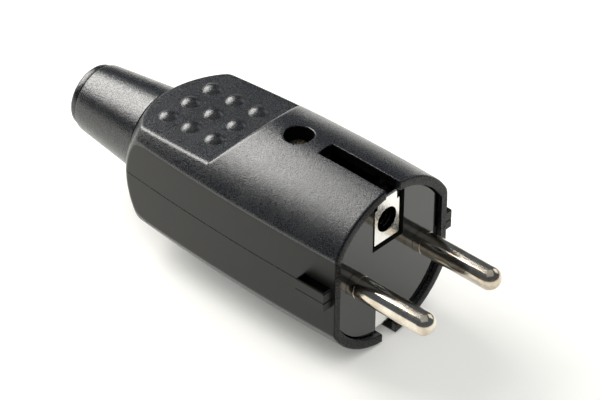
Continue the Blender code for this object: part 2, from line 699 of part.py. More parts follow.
def rounded(points, radius, steps):
    """Replace each inner corner of an open path by an arc of a radius that the corner allows."""
    path = [points[0]]
    for before, corner, after in zip(points, points[1:], points[2:]):
        back = np.subtract(before, corner)
        ahead = np.subtract(after, corner)
        reach_back = float(np.linalg.norm(back))
        reach_ahead = float(np.linalg.norm(ahead))
        back = back / reach_back
        ahead = ahead / reach_ahead
        half = 0.5 * math.acos(max(-1.0, min(1.0, float(back @ ahead))))
        trim = min(radius / math.tan(half), 0.45 * reach_back, 0.45 * reach_ahead)
        size = trim * math.tan(half)
        middle = np.asarray(corner) + (back + ahead) / np.linalg.norm(back + ahead) * (
            size / math.sin(half))
        first = np.asarray(corner) + back * trim - middle
        last = np.asarray(corner) + ahead * trim - middle
        for share in np.linspace(0.0, 1.0, steps):
            mix = first * (1.0 - share) + last * share
            path.append(tuple(middle + mix / np.linalg.norm(mix) * size))
    path.append(points[-1])
    return path


def band(path, thickness):
    """Return the outline of a strip of a thickness whose middle follows a path."""
    places = np.asarray(path)
    steps = np.diff(places, axis=0)
    steps = steps / np.linalg.norm(steps, axis=1)[:, None]
    tangents = np.vstack([steps[:1], steps[:-1] + steps[1:], steps[-1:]])
    tangents = tangents / np.linalg.norm(tangents, axis=1)[:, None]
    normals = np.column_stack([-tangents[:, 1], tangents[:, 0]])
    leaning = np.vstack([steps, steps[-1:]])
    stretch = 1.0 / np.maximum(0.5, np.sum(tangents * leaning, axis=1))
    shift = normals * (0.5 * thickness * stretch)[:, None]
    outline = np.vstack([places + shift, (places - shift)[::-1]])
    return [tuple(float(value) for value in point) for point in outline]


def bow_arm(side, plate_end):
    """Return the (y, z) path of one arm of the bow, from its front end to the rear web."""
    middle = 0.5 * BOW_THICKNESS
    front = BOW_RECESS + middle
    crest = BOW_CREST_HEIGHT - middle
    run = BOW_RUN_HEIGHT - middle
    rear = BOW_REAR - middle
    drop = BOW_CREST_HEIGHT - BOW_RUN_HEIGHT
    return [
        (front, plate_end),
        (front, side * crest),
        (front + 2.0 * BOW_BEND_RADIUS, side * crest),
        (front + 2.0 * BOW_BEND_RADIUS + 1.5 * drop, side * run),
        (rear, side * run),
    ]


def earth_bow(material):
    """Return the bent strip that joins the earth plate, both side contacts and the terminal."""
    path = bow_arm(1, EARTH_PLATE_BOTTOM) + bow_arm(-1, LOWER_HOOK_TOP)[::-1]
    outline = band(rounded(path, BOW_BEND_RADIUS, 5), BOW_THICKNESS)
    half = 0.5 * BOW_WIDTH
    bow = prism("earth_bow", outline, "X", -half, half)
    plate_half = 0.5 * EARTH_PLATE_WIDTH
    join(bow, block("earth_plate", (-plate_half, BOW_RECESS, EARTH_PLATE_BOTTOM),
                    (plate_half, BOW_RECESS + BOW_THICKNESS, EARTH_PLATE_TOP)))
    hole = rod("earth_hole", EARTH_HOLE_RADIUS, -CUT_MARGIN, BOW_RECESS + BOW_THICKNESS + SEAT_GAP)
    moved(hole, Matrix.Translation((0.0, 0.0, EARTH_HOLE_HEIGHT)))
    screw_hole = rod("screw_hole", SMALL_SHANK_RADIUS + SEAT_GAP, BOW_REAR - BOW_THICKNESS
                     - SEAT_GAP, BOW_REAR + CUT_MARGIN)
    cut(bow, hole, screw_hole)
    return done(bow, "earth_bow", material)


def earth_socket(material):
    """Return the tube behind the earth plate that takes the socket outlet's earth pin."""
    outer = EARTH_HOLE_RADIUS + SOCKET_WALL
    profile = [
        (EARTH_HOLE_RADIUS, SOCKET_START),
        (outer, SOCKET_START),
        (outer, SOCKET_END),
        (EARTH_HOLE_RADIUS, SOCKET_END),
    ]
    socket = revolve("earth_socket", profile, ROUND_FACETS, closed=True)
    moved(socket, Matrix.Translation((0.0, 0.0, EARTH_HOLE_HEIGHT)))
    return done(socket, "earth_socket", material)


def earth_washer(material):
    """Return the square clamping washer of the earth terminal, behind the bow's web."""
    half = 0.5 * EARTH_WASHER_SIDE
    start = BOW_REAR + SEAT_GAP
    washer = block("earth_washer", (-half, start, -half),
                   (half, start + EARTH_WASHER_THICKNESS, half))
    cut(washer, rod("washer_hole", SMALL_SHANK_RADIUS + SEAT_GAP, start - CUT_MARGIN,
                    start + EARTH_WASHER_THICKNESS + CUT_MARGIN))
    return done(washer, "earth_washer", material)


def earth_screw(material):
    """Return the earth terminal's screw, which passes the washer and the bow's web."""
    seat = BOW_REAR + EARTH_WASHER_THICKNESS + 2.0 * SEAT_GAP
    length = seat - (BOW_REAR - EARTH_SCREW_LENGTH)
    screw = machine_screw(SMALL_SHANK_RADIUS, length, SMALL_HEAD_RADIUS, SMALL_HEAD_HEIGHT)
    moved(screw, Matrix.Translation((0.0, seat, 0.0)))
    return done(screw, "earth_screw", material)


def housing_screw(material):
    """Return the long screw that holds the two half shells together."""
    seat = HOUSING_HEAD_TOP - HOUSING_HEAD_HEIGHT
    end = NUT_SEAT - SEAT_GAP - NUT_THICKNESS
    screw = machine_screw(HOUSING_SHANK_RADIUS, seat - end, HOUSING_HEAD_RADIUS,
                          HOUSING_HEAD_HEIGHT)
    moved(screw, Matrix.Translation((0.0, seat, 0.0)))
    upright(screw, 0.0, HOUSING_SCREW_PLACE)
    return done(screw, "housing_screw", material)


def ring(name, inner, outer, start, end):
    """Return a flat ring on the Y axis."""
    profile = [(inner, start), (outer, start), (outer, end), (inner, end)]
    return revolve(name, profile, ROUND_FACETS, closed=True)


def screw_washer(material):
    """Return the washer that keeps the housing screw in its well."""
    top = HOUSING_HEAD_TOP - HOUSING_HEAD_HEIGHT - SEAT_GAP
    washer = ring("screw_washer", HOUSING_SHANK_RADIUS + SEAT_GAP, HOUSING_HEAD_RADIUS,
                  top - SCREW_WASHER_THICKNESS, top)
    upright(washer, 0.0, HOUSING_SCREW_PLACE)
    return done(washer, "screw_washer", material)


def housing_nut(material):
    """Return the hexagon nut that sits captive in the lower shell."""
    top = NUT_SEAT - SEAT_GAP
    nut = prism("housing_nut", hexagon(NUT_ACROSS_FLATS), "Z", top - NUT_THICKNESS, top)
    hole = rod("nut_hole", HOUSING_SHANK_RADIUS + SEAT_GAP, top - NUT_THICKNESS - CUT_MARGIN,
               top + CUT_MARGIN)
    cut(nut, upright(hole, 0.0, HOUSING_SCREW_PLACE))
    return done(nut, "housing_nut", material)


def clamp_bar(material):
    """Return the arched bar that presses the cable down between its two screws."""
    half = 0.5 * CLAMP_BAR_LENGTH
    pad = half - 0.5 * (CLAMP_BAR_LENGTH - CLAMP_SCREW_SPACING) - CLAMP_HEAD_RADIUS - SEAT_GAP
    low = CLAMP_BAR_BOTTOM
    high = CLAMP_BAR_TOP
    outline = [(-half, low), (-pad, low)]
    for share in np.linspace(-1.0, 1.0, 9)[1:-1]:
        outline.append((share * pad, low + CLAMP_BAR_ARCH * math.cos(0.5 * math.pi * share)))
    outline += [(pad, low), (half, low), (half, high), (pad, high)]
    for share in np.linspace(1.0, -1.0, 9)[1:-1]:
        outline.append((share * pad, high + CLAMP_BAR_ARCH * math.cos(0.5 * math.pi * share)))
    outline += [(-pad, high), (-half, high)]
    bar = prism("clamp_bar", outline, "Y", CLAMP_PLACE - 0.5 * CLAMP_BAR_WIDTH,
                CLAMP_PLACE + 0.5 * CLAMP_BAR_WIDTH)
    for side in (-1, 1):
        hole = rod("bar_hole", CLAMP_SHANK_RADIUS + SEAT_GAP, low - CUT_MARGIN,
                   high + CUT_MARGIN)
        cut(bar, upright(hole, side * 0.5 * CLAMP_SCREW_SPACING, CLAMP_PLACE))
    return done(bar, "clamp_bar", material)


def clamp_screw(name, side, material):
    """Return one of the two screws of the cable clamp."""
    screw = machine_screw(CLAMP_SHANK_RADIUS, CLAMP_SCREW_LENGTH, CLAMP_HEAD_RADIUS,
                          CLAMP_HEAD_HEIGHT)
    moved(screw, Matrix.Translation((0.0, CLAMP_BAR_TOP + SEAT_GAP, 0.0)))
    upright(screw, side * 0.5 * CLAMP_SCREW_SPACING, CLAMP_PLACE)
    return done(screw, name, material)


def kink_sleeve(material):
    """Return the tapered rubber sleeve, with its flange inside the housing."""
    neck = REAR_OPENING_RADIUS - SEAT_GAP
    flange = REAR_CAVITY_RADIUS - SEAT_GAP
    profile = [
        (SLEEVE_BORE_RADIUS, SLEEVE_FLANGE_FRONT),
        (flange, SLEEVE_FLANGE_FRONT),
        (flange, SLEEVE_FLANGE_REAR),
        (neck, SLEEVE_FLANGE_REAR),
        (neck, dome_place(neck) + SEAT_GAP),
        (SLEEVE_BASE_RADIUS, dome_place(SLEEVE_BASE_RADIUS) + SEAT_GAP),
        (SLEEVE_SHOULDER_RADIUS, SLEEVE_SHOULDER),
        (SLEEVE_LIP_RADIUS, SLEEVE_SHOULDER + 0.5 * SLEEVE_LIP_ROUNDING),
    ]
    for turn in np.linspace(90.0, 0.0, 5):
        angle = math.radians(turn)
        profile.append((
            SLEEVE_LIP_RADIUS - SLEEVE_LIP_ROUNDING * (1.0 - math.sin(angle)),
            SLEEVE_END - SLEEVE_LIP_ROUNDING * (1.0 - math.cos(angle)),
        ))
    profile.append((SLEEVE_BORE_RADIUS, SLEEVE_END))
    sleeve = revolve("kink_sleeve", profile, SLEEVE_FACETS, closed=True)
    return done(sleeve, "kink_sleeve", material)


def main():
    """Build every piece of the plug."""
    clear_scene()
    housing = finish("housing_rubber", (0.030, 0.030, 0.031), 0.48)
    sleeve = finish("sleeve_rubber", (0.026, 0.027, 0.029), 0.36)
    moulding = finish("carrier_plastic", (0.040, 0.041, 0.039), 0.22)
    nickel = finish("nickel_plate", (0.74, 0.71, 0.66), 0.16, 1.0)
    steel = finish("zinc_steel", (0.62, 0.58, 0.48), 0.30, 1.0)
    clamp = finish("clamp_plastic", (0.055, 0.055, 0.055), 0.50)
    upper_shell(housing)
    lower_shell(housing)
    contact_carrier(moulding)
    for word, side in (("left", -1), ("right", 1)):
        contact_pin("pin_" + word, side, nickel)
        terminal_screw("terminal_screw_" + word, side, steel)
        wire_guard("wire_guard_" + word, side, nickel)
        clamp_screw("clamp_screw_" + word, side, steel)
    earth_bow(nickel)
    earth_socket(nickel)
    earth_washer(steel)
    earth_screw(steel)
    housing_screw(steel)
    screw_washer(steel)
    housing_nut(steel)
    clamp_bar(clamp)
    kink_sleeve(sleeve)


main()
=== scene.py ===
"""Looks of a rewireable mains plug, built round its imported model.

Every surface is worked out in millimetres on a numpy grid and turned to metres when it becomes
a mesh. The frame is the model's own: the origin is the centre of the engagement face, the pins
point along -Y, the kink sleeve points along +Y and the earth socket is up.
"""

import enum
import logging
import math
from dataclasses import dataclass

import bmesh
import bpy
import numpy as np
from mathutils import Matrix, Vector


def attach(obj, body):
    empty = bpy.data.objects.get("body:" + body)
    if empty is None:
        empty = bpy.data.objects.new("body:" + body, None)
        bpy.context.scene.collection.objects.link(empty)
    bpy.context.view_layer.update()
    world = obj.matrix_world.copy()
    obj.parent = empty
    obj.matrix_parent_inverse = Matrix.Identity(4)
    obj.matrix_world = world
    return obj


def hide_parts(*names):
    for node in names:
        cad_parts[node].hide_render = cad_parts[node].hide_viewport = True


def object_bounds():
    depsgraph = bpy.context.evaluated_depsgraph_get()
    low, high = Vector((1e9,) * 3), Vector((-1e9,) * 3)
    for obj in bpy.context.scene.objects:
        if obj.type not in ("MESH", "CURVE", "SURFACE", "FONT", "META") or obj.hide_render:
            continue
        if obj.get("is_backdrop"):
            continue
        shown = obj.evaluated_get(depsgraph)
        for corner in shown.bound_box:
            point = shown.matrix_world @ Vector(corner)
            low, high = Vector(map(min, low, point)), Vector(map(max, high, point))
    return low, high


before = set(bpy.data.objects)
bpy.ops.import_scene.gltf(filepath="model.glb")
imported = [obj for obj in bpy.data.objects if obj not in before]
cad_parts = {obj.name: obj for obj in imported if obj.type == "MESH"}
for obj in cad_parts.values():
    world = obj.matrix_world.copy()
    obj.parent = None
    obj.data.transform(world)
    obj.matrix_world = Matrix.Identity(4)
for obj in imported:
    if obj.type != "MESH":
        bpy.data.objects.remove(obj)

MM = 0.001
BODY = "root"
LOG = logging.getLogger("plug")

Array = np.ndarray
Object = bpy.types.Object
Material = bpy.types.Material
Socket = bpy.types.NodeSocket
Colour = tuple[float, float, float]
Point = tuple[float, float, float]


class Cut(enum.Enum):
    """What a Boolean does with its tool."""

    AWAY = "DIFFERENCE"
    ADD = "UNION"
    SHARE = "INTERSECT"


class Blend(enum.Enum):
    """What a Mix node blends, with the places of its two inputs and of its output."""

    COLOURS = ("RGBA", 6, 7, 2)
    NUMBERS = ("FLOAT", 2, 3, 0)


class Half(enum.Enum):
    """The two half shells, by the side of the parting plane."""

    UPPER = 1
    LOWER = -1


class MeshEdit:
    """An object's mesh, opened for edits by a with block and written back at its end."""

    def __init__(self, item: Object) -> None:
        """Take the object whose mesh is edited."""
        self.mesh = item.data
        self.grid = bmesh.new()

    def __enter__(self) -> bmesh.types.BMesh:
        """Return the mesh as one that can be edited."""
        self.grid.from_mesh(self.mesh)
        return self.grid

    def __exit__(self, *_: object) -> None:
        """Write the edited mesh back."""
        self.grid.to_mesh(self.mesh)
        self.grid.free()


def smooth_min(first: Array, second: Array, blend: float) -> Array:
    """Return the smaller of two arrays, with a round of a given reach where they meet.

    The plain minimum is lowered by the square of what is left of the reach, over four reaches.

    Args:
        first: One array of distances.
        second: The other array, of the same shape.
        blend: How far apart the two may be and still be rounded.

    Returns:
        The rounded minimum.
    """
    left = np.maximum(blend - np.abs(first - second), 0.0)
    return np.minimum(first, second) - left * left / (4.0 * blend)


def spread(start: Array, end: Array, cells: int, crowd: float = 1.0) -> Array:
    """Return places from start to end, crowded towards both ends.

    The share runs as half of one minus a cosine, mixed with the plain share.

    Args:
        start: First place, one value or an array of them.
        end: Last place, of the same shape.
        cells: How many cells lie between them.
        crowd: One for the full crowding and nothing for even cells.

    Returns:
        The places, one row for each, without the last.
    """
    even = np.arange(cells) / cells
    share = crowd * 0.5 * (1.0 - np.cos(math.pi * even)) + (1.0 - crowd) * even
    share = share.reshape((-1,) + (1,) * np.ndim(start))
    return start + (np.asarray(end) - start) * share


def linked(name: str, data: bpy.types.ID) -> Object:
    """Return a new object, linked into the scene.

    Args:
        name: Its name.
        data: Its mesh, lamp or camera.

    Returns:
        The object.
    """
    item = bpy.data.objects.new(name, data)
    bpy.context.scene.collection.objects.link(item)
    return item


def mesh_object(name: str, vertices: Array, quads: Array, triangles: Array) -> Object:
    """Put a surface into a mesh, with its faces pointing out.

    Args:
        name: Name of the object and of its mesh.
        vertices: Points in millimetres, one row each.
        quads: Rows of four vertex numbers.
        triangles: Rows of three vertex numbers.

    Returns:
        The object, linked into the scene.
    """
    mesh = bpy.data.meshes.new(name)
    loops = np.concatenate([quads.ravel(), triangles.ravel()]).astype(np.int32)
    sizes = np.concatenate([np.full(len(quads), 4), np.full(len(triangles), 3)])
    starts = np.concatenate([[0], np.cumsum(sizes)[:-1]]).astype(np.int32)
    mesh.vertices.add(len(vertices))
    mesh.vertices.foreach_set("co", (vertices * MM).astype(np.float32).ravel())
    mesh.loops.add(len(loops))
    mesh.loops.foreach_set("vertex_index", loops)
    mesh.polygons.add(len(sizes))
    mesh.polygons.foreach_set("loop_start", starts)
    mesh.update(calc_edges=True)
    mesh.validate()
    item = linked(name, mesh)
    with MeshEdit(item) as grid:
        bmesh.ops.recalc_face_normals(grid, faces=grid.faces)
    return item


def loft(name: str, rings: Array, ring_loop: bool = False) -> Object:
    """Join rings of points into a closed surface.

    Args:
        name: Name of the object.
        rings: Points as an array of ring, place round the ring, and x, y and z.
        ring_loop: True where the last ring meets the first, as on a tube with a wall. Else the
            two end rings are closed by fans about their middles.

    Returns:
        The closed surface.
    """
    rows, columns = rings.shape[:2]
    index = np.arange(rows * columns).reshape(rows, columns)
    near = index if ring_loop else index[:-1]
    far = np.roll(index, -1, axis=0) if ring_loop else index[1:]
    quads = np.stack([near, np.roll(near, -1, 1), np.roll(far, -1, 1), far], -1).reshape(-1, 4)
    vertices = rings.reshape(-1, 3)
    if ring_loop:
        return mesh_object(name, vertices, quads, np.empty((0, 3), int))
    middles = np.stack([rings[0].mean(0), rings[-1].mean(0)])
    poles = rows * columns + np.arange(2)
    fans = []
    for pole, ring in zip(poles, (index[0], index[-1])):
        fans.append(np.stack([np.full(columns, pole), np.roll(ring, -1), ring], -1))
    return mesh_object(name, np.vstack([vertices, middles]), quads, np.vstack(fans))


def turned(name: str, profile: Array, facets: int, ring_loop: bool = False) -> Object:
    """Turn a profile of radius and height about the Y axis.

    Args:
        name: Name of the object.
        profile: Rows of radius and place along Y.
        facets: Facets round the axis.
        ring_loop: True where the profile is a closed loop clear of the axis.

    Returns:
        The turned surface.
    """
    turn = (np.arange(facets) + 0.5) * 2.0 * math.pi / facets
    radius, along = profile[:, :1], profile[:, 1:]
    rings = np.stack([radius * np.sin(turn), along + 0.0 * turn, radius * np.cos(turn)], -1)
    return loft(name, rings, ring_loop)


def arc(centre: tuple[float, float], radius: float, start: float, end: float,
        cells: int) -> Array:
    """Return points on an arc in the plane of radius and height.

    Args:
        centre: Middle of the arc.
        radius: Its radius.
        start: First angle in degrees, from the first axis towards the second.
        end: Last angle in degrees.
        cells: How many chords it has.

    Returns:
        Rows of two coordinates.
    """
    angle = np.radians(np.linspace(start, end, cells + 1))
    return np.column_stack([centre[0] + radius * np.cos(angle),
                            centre[1] + radius * np.sin(angle)])


def prism(name: str, outline: Array, axis: str, start: float, end: float) -> Object:
    """Carry a flat outline straight along an axis.

    Args:
        name: Name of the object.
        outline: Rows of two coordinates, in the order of X, Y and Z without the axis.
        axis: The axis that it is carried along.
        start: Where it starts on the axis.
        end: Where it ends.

    Returns:
        The closed prism.
    """
    place = "XYZ".index(axis)
    rings = np.stack([np.insert(outline, place, along, axis=1) for along in (start, end)])
    rows, columns = rings.shape[:2]
    index = np.arange(rows * columns).reshape(rows, columns)
    quads = np.stack([index[0], np.roll(index[0], -1), np.roll(index[1], -1), index[1]], -1)
    item = mesh_object(name, rings.reshape(-1, 3), quads, np.empty((0, 3), int))
    with MeshEdit(item) as grid:
        bmesh.ops.holes_fill(grid, edges=grid.edges)
        bmesh.ops.recalc_face_normals(grid, faces=grid.faces)
    return item


def box(name: str, low: Point, high: Point) -> Object:
    """Return a box between two opposite corners, in millimetres."""
    outline = np.array([[low[0], low[1]], [high[0], low[1]], [high[0], high[1]],
                        [low[0], high[1]]])
    return prism(name, outline, "Z", low[2], high[2])


def moved(item: Object, x: float = 0.0, y: float = 0.0, z: float = 0.0) -> Object:
    """Shift the mesh of an object by millimetres and return the object."""
    item.data.transform(Matrix.Translation((x * MM, y * MM, z * MM)))
    return item


def stood(item: Object) -> Object:
    """Turn the mesh of an object so that its Y axis points up, and return the object."""
    item.data.transform(Matrix.Rotation(math.radians(90.0), 4, "X"))
    return item


def upright(name: str, radius: float, start: float, end: float, x: float = 0.0,
            y: float = 0.0, facets: int = 32) -> Object:
    """Return a round bar that stands along Z.

    Args:
        name: Name of the object.
        radius: Its radius.
        start: The height of one end.
        end: The height of the other.
        x: Where it stands across the plug.
        y: Where it stands along the plug.
        facets: Facets round it.

    Returns:
        The bar.
    """
    return moved(stood(turned(name, np.array([(radius, start), (radius, end)]), facets)), x, y)


def combine(item: Object, cut: Cut, *tools: Object) -> Object:
    """Apply Booleans to an object, one for each tool, and remove the tools.

    Args:
        item: The object that is changed.
        cut: What each Boolean does.
        tools: Closed objects.

    Returns:
        The changed object.
    """
    for tool in tools:
        modifier = item.modifiers.new(cut.name, "BOOLEAN")
        modifier.operation = cut.value
        modifier.solver = "MANIFOLD"
        modifier.object = tool
        graph = bpy.context.evaluated_depsgraph_get()
        result = bpy.data.meshes.new_from_object(item.evaluated_get(graph))
        item.modifiers.clear()
        item.data = result
        bpy.data.objects.remove(tool)
    return item


def coat(item: Object, material: Material) -> None:
    """Give an object one material in place of any that it has."""
    item.data.materials.clear()
    item.data.materials.append(material)


def finished(item: Object, name: str, material: Material, sharp: float = 32.0) -> Object:
    """Name a piece, dress it and shade its round faces smooth.

    Args:
        item: The object.
        name: Its final name.
        material: Its material.
        sharp: Edges that bend by more degrees than this stay sharp.

    Returns:
        The same object.
    """
    item.name = name
    item.data.name = name
    coat(item, material)
    item.data.shade_smooth()
    item.data.set_sharp_from_angle(angle=math.radians(sharp))
    return item


def stand_for(item: Object, slot: str, *nodes: str) -> None:
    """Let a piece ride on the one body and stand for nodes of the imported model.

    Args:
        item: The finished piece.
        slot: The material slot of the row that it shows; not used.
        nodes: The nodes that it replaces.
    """
    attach(item, BODY)
    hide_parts(*nodes)
    LOG.info("%s: %d faces, stands for %s", item.name, len(item.data.polygons), ", ".join(nodes))


class Shader:
    """A material's node tree, with short calls for the nodes that the finishes share.

    A value is a number, a colour or the output of another node.
    """

    def __init__(self, name: str) -> None:
        """Make a material with one Principled shader and its Object coordinates.

        Args:
            name: Name of the material.
        """
        self.material = bpy.data.materials.new(name)
        self.material.use_nodes = True
        self.tree = self.material.node_tree
        self.surface = self.tree.nodes["Principled BSDF"]
        self.place = self.node("ShaderNodeTexCoord").outputs["Object"]

    def node(self, kind: str, **settings: object) -> bpy.types.Node:
        """Add a node.

        Args:
            kind: Its type.
            settings: Its plain properties.

        Returns:
            The node.
        """
        made = self.tree.nodes.new(kind)
        for key, value in settings.items():
            setattr(made, key, value)
        return made

    def feed(self, socket: Socket, value: object) -> None:
        """Link an output into a socket, or set the socket's own value.

        Args:
            socket: The input that is fed.
            value: What it gets, where three numbers are a solid colour.
        """
        if isinstance(value, bpy.types.NodeSocket):
            self.tree.links.new(value, socket)
        elif isinstance(value, tuple) and len(value) == 3:
            socket.default_value = (*value, 1.0)
        else:
            socket.default_value = value

    def set(self, **values: object) -> None:
        """Set the shader's sockets by name, with underscores for the spaces."""
        for key, value in values.items():
            self.feed(self.surface.inputs[key.replace("_", " ")], value)

    def math(self, operation: str, first: object, second: object = 0.0) -> Socket:
        """Return the output of one Math node.

        Args:
            operation: What it does.
            first: Its first value.
            second: Its second value, where it has one.

        Returns:
            The result.
        """
        made = self.node("ShaderNodeMath", operation=operation)
        for socket, value in zip(made.inputs, (first, second)):
            self.feed(socket, value)
        return made.outputs[0]

    def product(self, first: object, *others: object) -> Socket:
        """Return several values multiplied together."""
        for other in others:
            first = self.math("MULTIPLY", first, other)
        return first

    def ramp(self, value: object, low: float, high: float, start: float = 0.0,
             end: float = 1.0) -> Socket:
        """Return a value mapped from one range to another, clamped and eased.

        Args:
            value: What is mapped.
            low: The value that gives the start.
            high: The value that gives the end.
            start: The result at low and below.
            end: The result at high and above.

        Returns:
            The mapped value.
        """
        made = self.node("ShaderNodeMapRange", interpolation_type="SMOOTHSTEP")
        for key, number in zip(("Value", "From Min", "From Max", "To Min", "To Max"),
                               (value, low, high, start, end)):
            self.feed(made.inputs[key], number)
        return made.outputs[0]

    def band(self, value: object, low: float, high: float, soft: float = 0.06) -> Socket:
        """Return one between two places in millimetres and nothing past a soft edge."""
        rise = self.ramp(value, (low - soft) * MM, low * MM)
        return self.product(rise, self.ramp(value, high * MM, (high + soft) * MM, 1.0, 0.0))

    def noise(self, size: float, detail: float = 2.0, stretch: Point = (1.0, 1.0, 1.0),
              roughness: float = 0.5) -> Socket:
        """Return noise from nothing to one.

        Args:
            size: How wide its grains are, in millimetres.
            detail: How many finer layers it has.
            stretch: How much longer the grains are along each axis.
            roughness: How strong the finer layers are.

        Returns:
            The noise.
        """
        mapping = self.node("ShaderNodeMapping")
        self.feed(mapping.inputs["Vector"], self.place)
        mapping.inputs["Scale"].default_value = tuple(1.0 / (size * MM * s) for s in stretch)
        made = self.node("ShaderNodeTexNoise")
        for key, value in zip(("Vector", "Scale", "Detail", "Roughness"),
                              (mapping.outputs["Vector"], 1.0, detail, roughness)):
            self.feed(made.inputs[key], value)
        return made.outputs["Fac"]

    def axis(self, name: str) -> Socket:
        """Return one Object coordinate, in metres."""
        made = self.node("ShaderNodeSeparateXYZ")
        self.feed(made.inputs[0], self.place)
        return made.outputs[name]

    def mix(self, share: object, first: object, second: object,
            kind: Blend = Blend.COLOURS) -> Socket:
        """Return a blend of two values.

        Args:
            share: Nothing for the first value and one for the second.
            first: The first value.
            second: The second value.
            kind: What is blended.

        Returns:
            The blend.
        """
        data_type, left, right, result = kind.value
        made = self.node("ShaderNodeMix", data_type=data_type)
        for place, value in ((0, share), (left, first), (right, second)):
            self.feed(made.inputs[place], value)
        return made.outputs[result]

    def seen(self) -> Socket:
        """Return one for what the camera sees, directly, in a polished surface or through one."""
        path = self.node("ShaderNodeLightPath")
        seen = path.outputs["Is Camera Ray"]
        for name in ("Is Glossy Ray", "Is Transmission Ray"):
            seen = self.math("MAXIMUM", seen, path.outputs[name])
        return seen

    def bump(self, height: object, depth: float, strength: object = 1.0) -> None:
        """Roughen the surface.

        Args:
            height: A height from nothing to one.
            depth: How deep the full height is, in millimetres.
            strength: How much of it shows.
        """
        made = self.node("ShaderNodeBump")
        for key, value in zip(("Distance", "Strength", "Height"), (depth * MM, strength, height)):
            self.feed(made.inputs[key], value)
        self.feed(self.surface.inputs["Normal"], made.outputs["Normal"])


@dataclass(frozen=True)
class SparkedRubber:
    """Black rubber from a spark-eroded mould, whose two bulged flats are smooth, with shade painted
    near-black into its openings and lug pockets.
    """

    housing: "Housing"
    name: str = "housing_rubber"
    dark: Colour = (0.006, 0.006, 0.007)
    pale: Colour = (0.018, 0.019, 0.021)
    smooth: Colour = (0.015, 0.0145, 0.012)
    # Near-black colour of the shade painted inside the openings and lug pockets.
    inside: Colour = (0.003, 0.003, 0.003)
    ior: float = 1.6
    flat_roughness: float = 0.36
    flat_gloss: float = 0.22
    # Gloss left under the painted shade.
    painted_shade_gloss: float = 0.08
    rim_gloss: float = 0.25
    grain: float = 0.22
    patch: float = 9.0
    depth: float = 0.05
    flat_share: float = 0.85
    margin: float = 0.03

    def barrel(self, shader: Shader) -> Socket:
        """Return the barrel's radius, which falls with the square of the way from its middle."""
        along = shader.math("SUBTRACT", shader.axis("Y"), self.housing.bulge_centre * MM)
        drop = shader.math("DIVIDE", shader.product(along, along),
                           2.0 * self.housing.bulge_arc * MM)
        return shader.math("SUBTRACT", self.housing.barrel_radius * MM, drop)

    def on_flat(self, shader: Shader) -> Socket:
        """Return one on the flats and nothing elsewhere.

        A flat lies at the root of the radius squared less the height of its edge squared.

        Args:
            shader: The material's nodes.

        Returns:
            The mask.
        """
        radius = self.barrel(shader)
        square = shader.math("SUBTRACT", shader.product(radius, radius),
                             (self.housing.flat_edge * MM) ** 2)
        past = shader.math("SUBTRACT", shader.math("ABSOLUTE", shader.axis("X")),
                           shader.math("SQRT", square))
        return shader.ramp(past, -0.04 * MM, -0.01 * MM)

    def painted_shade(self, shader: Shader) -> Socket:
        """Return one in the front opening, slots, well and lug pockets, where shade is painted
        near-black.

        The opening is what lies deeper than a little under the barrel and between the flats'
        walls. The pockets are boxes between the flats and the lugs.

        Args:
            shader: The material's nodes.

        Returns:
            The mask of the painted shade.
        """
        form, margin = self.housing, self.margin
        across, along, up = (shader.axis(name) for name in "XYZ")
        square = shader.math("ADD", shader.product(across, across), shader.product(up, up))
        depth = shader.math("SUBTRACT", self.barrel(shader), shader.math("SQRT", square))
        side = shader.math("ABSOLUTE", across)
        opening = shader.product(
            shader.ramp(depth, 0.1 * MM, 0.5 * MM),
            shader.band(along, 0.15, form.opening_rear),
            shader.band(side, -1.0, form.opening_flat + 0.1))
        pocket = shader.product(
            shader.band(side, form.flat_at(form.lug_front) - margin,
                        form.lug_reach - form.lug_wall + margin),
            shader.band(along, form.lug_front + form.lug_wall - margin,
                        form.lug_rear - form.lug_wall + margin),
            shader.band(up, form.parting + form.lug_wall, form.parting + form.lug_above + margin))
        return shader.math("MAXIMUM", opening, pocket)

    def gloss(self, shader: Shader, grain: Socket, flat: Socket, painted_shade: Socket) -> Socket:
        """Return how strongly the rubber mirrors, less on the flats, under the painted shade inside
        and at the rim.

        Args:
            shader: The material's nodes.
            grain: The grain's height.
            flat: One on the flats.
            painted_shade: One where shade is painted, which takes most of the gloss.

        Returns:
            The level.
        """
        level = shader.product(shader.ramp(grain, 0.34, 0.66, 0.40, 0.82),
                               shader.ramp(painted_shade, 0.0, 1.0, 1.0, self.painted_shade_gloss))
        level = shader.math("MINIMUM", level, shader.ramp(flat, 0.0, 1.0, 1.0, self.flat_gloss))
        front = self.housing.rim_front
        rim = shader.ramp(shader.axis("Y"), (front + 0.05) * MM,
                          (front + self.housing.rim_rounding) * MM, self.rim_gloss, 1.0)
        return shader.product(level, rim)

    def build(self) -> Material:
        """Return the material: speckled and grained, satin on the flats, with near-black painted
        shade, dull, inside.
        """
        shader = Shader(self.name)
        flat, painted_shade = self.on_flat(shader), self.painted_shade(shader)
        grain, patches = shader.noise(self.grain), shader.noise(self.patch)
        rough = shader.math("ADD", shader.ramp(grain, 0.35, 0.7, 0.23, 0.33),
                            shader.ramp(patches, 0.3, 0.7, -0.03, 0.03))
        sparked = shader.mix(shader.ramp(grain, 0.42, 0.66), self.dark, self.pale)
        colour = shader.mix(flat, sparked, self.smooth)
        # Painted shade: the openings, slots, well and lug pockets take the near-black colour.
        shader.set(Base_Color=shader.mix(painted_shade, colour, self.inside), IOR=self.ior,
                   Roughness=shader.mix(flat, rough, self.flat_roughness, Blend.NUMBERS),
                   Specular_IOR_Level=self.gloss(shader, grain, flat, painted_shade))
        strength = shader.math("SUBTRACT", 1.0, shader.product(flat, self.flat_share))
        shader.bump(grain, self.depth, strength)
        return shader.material


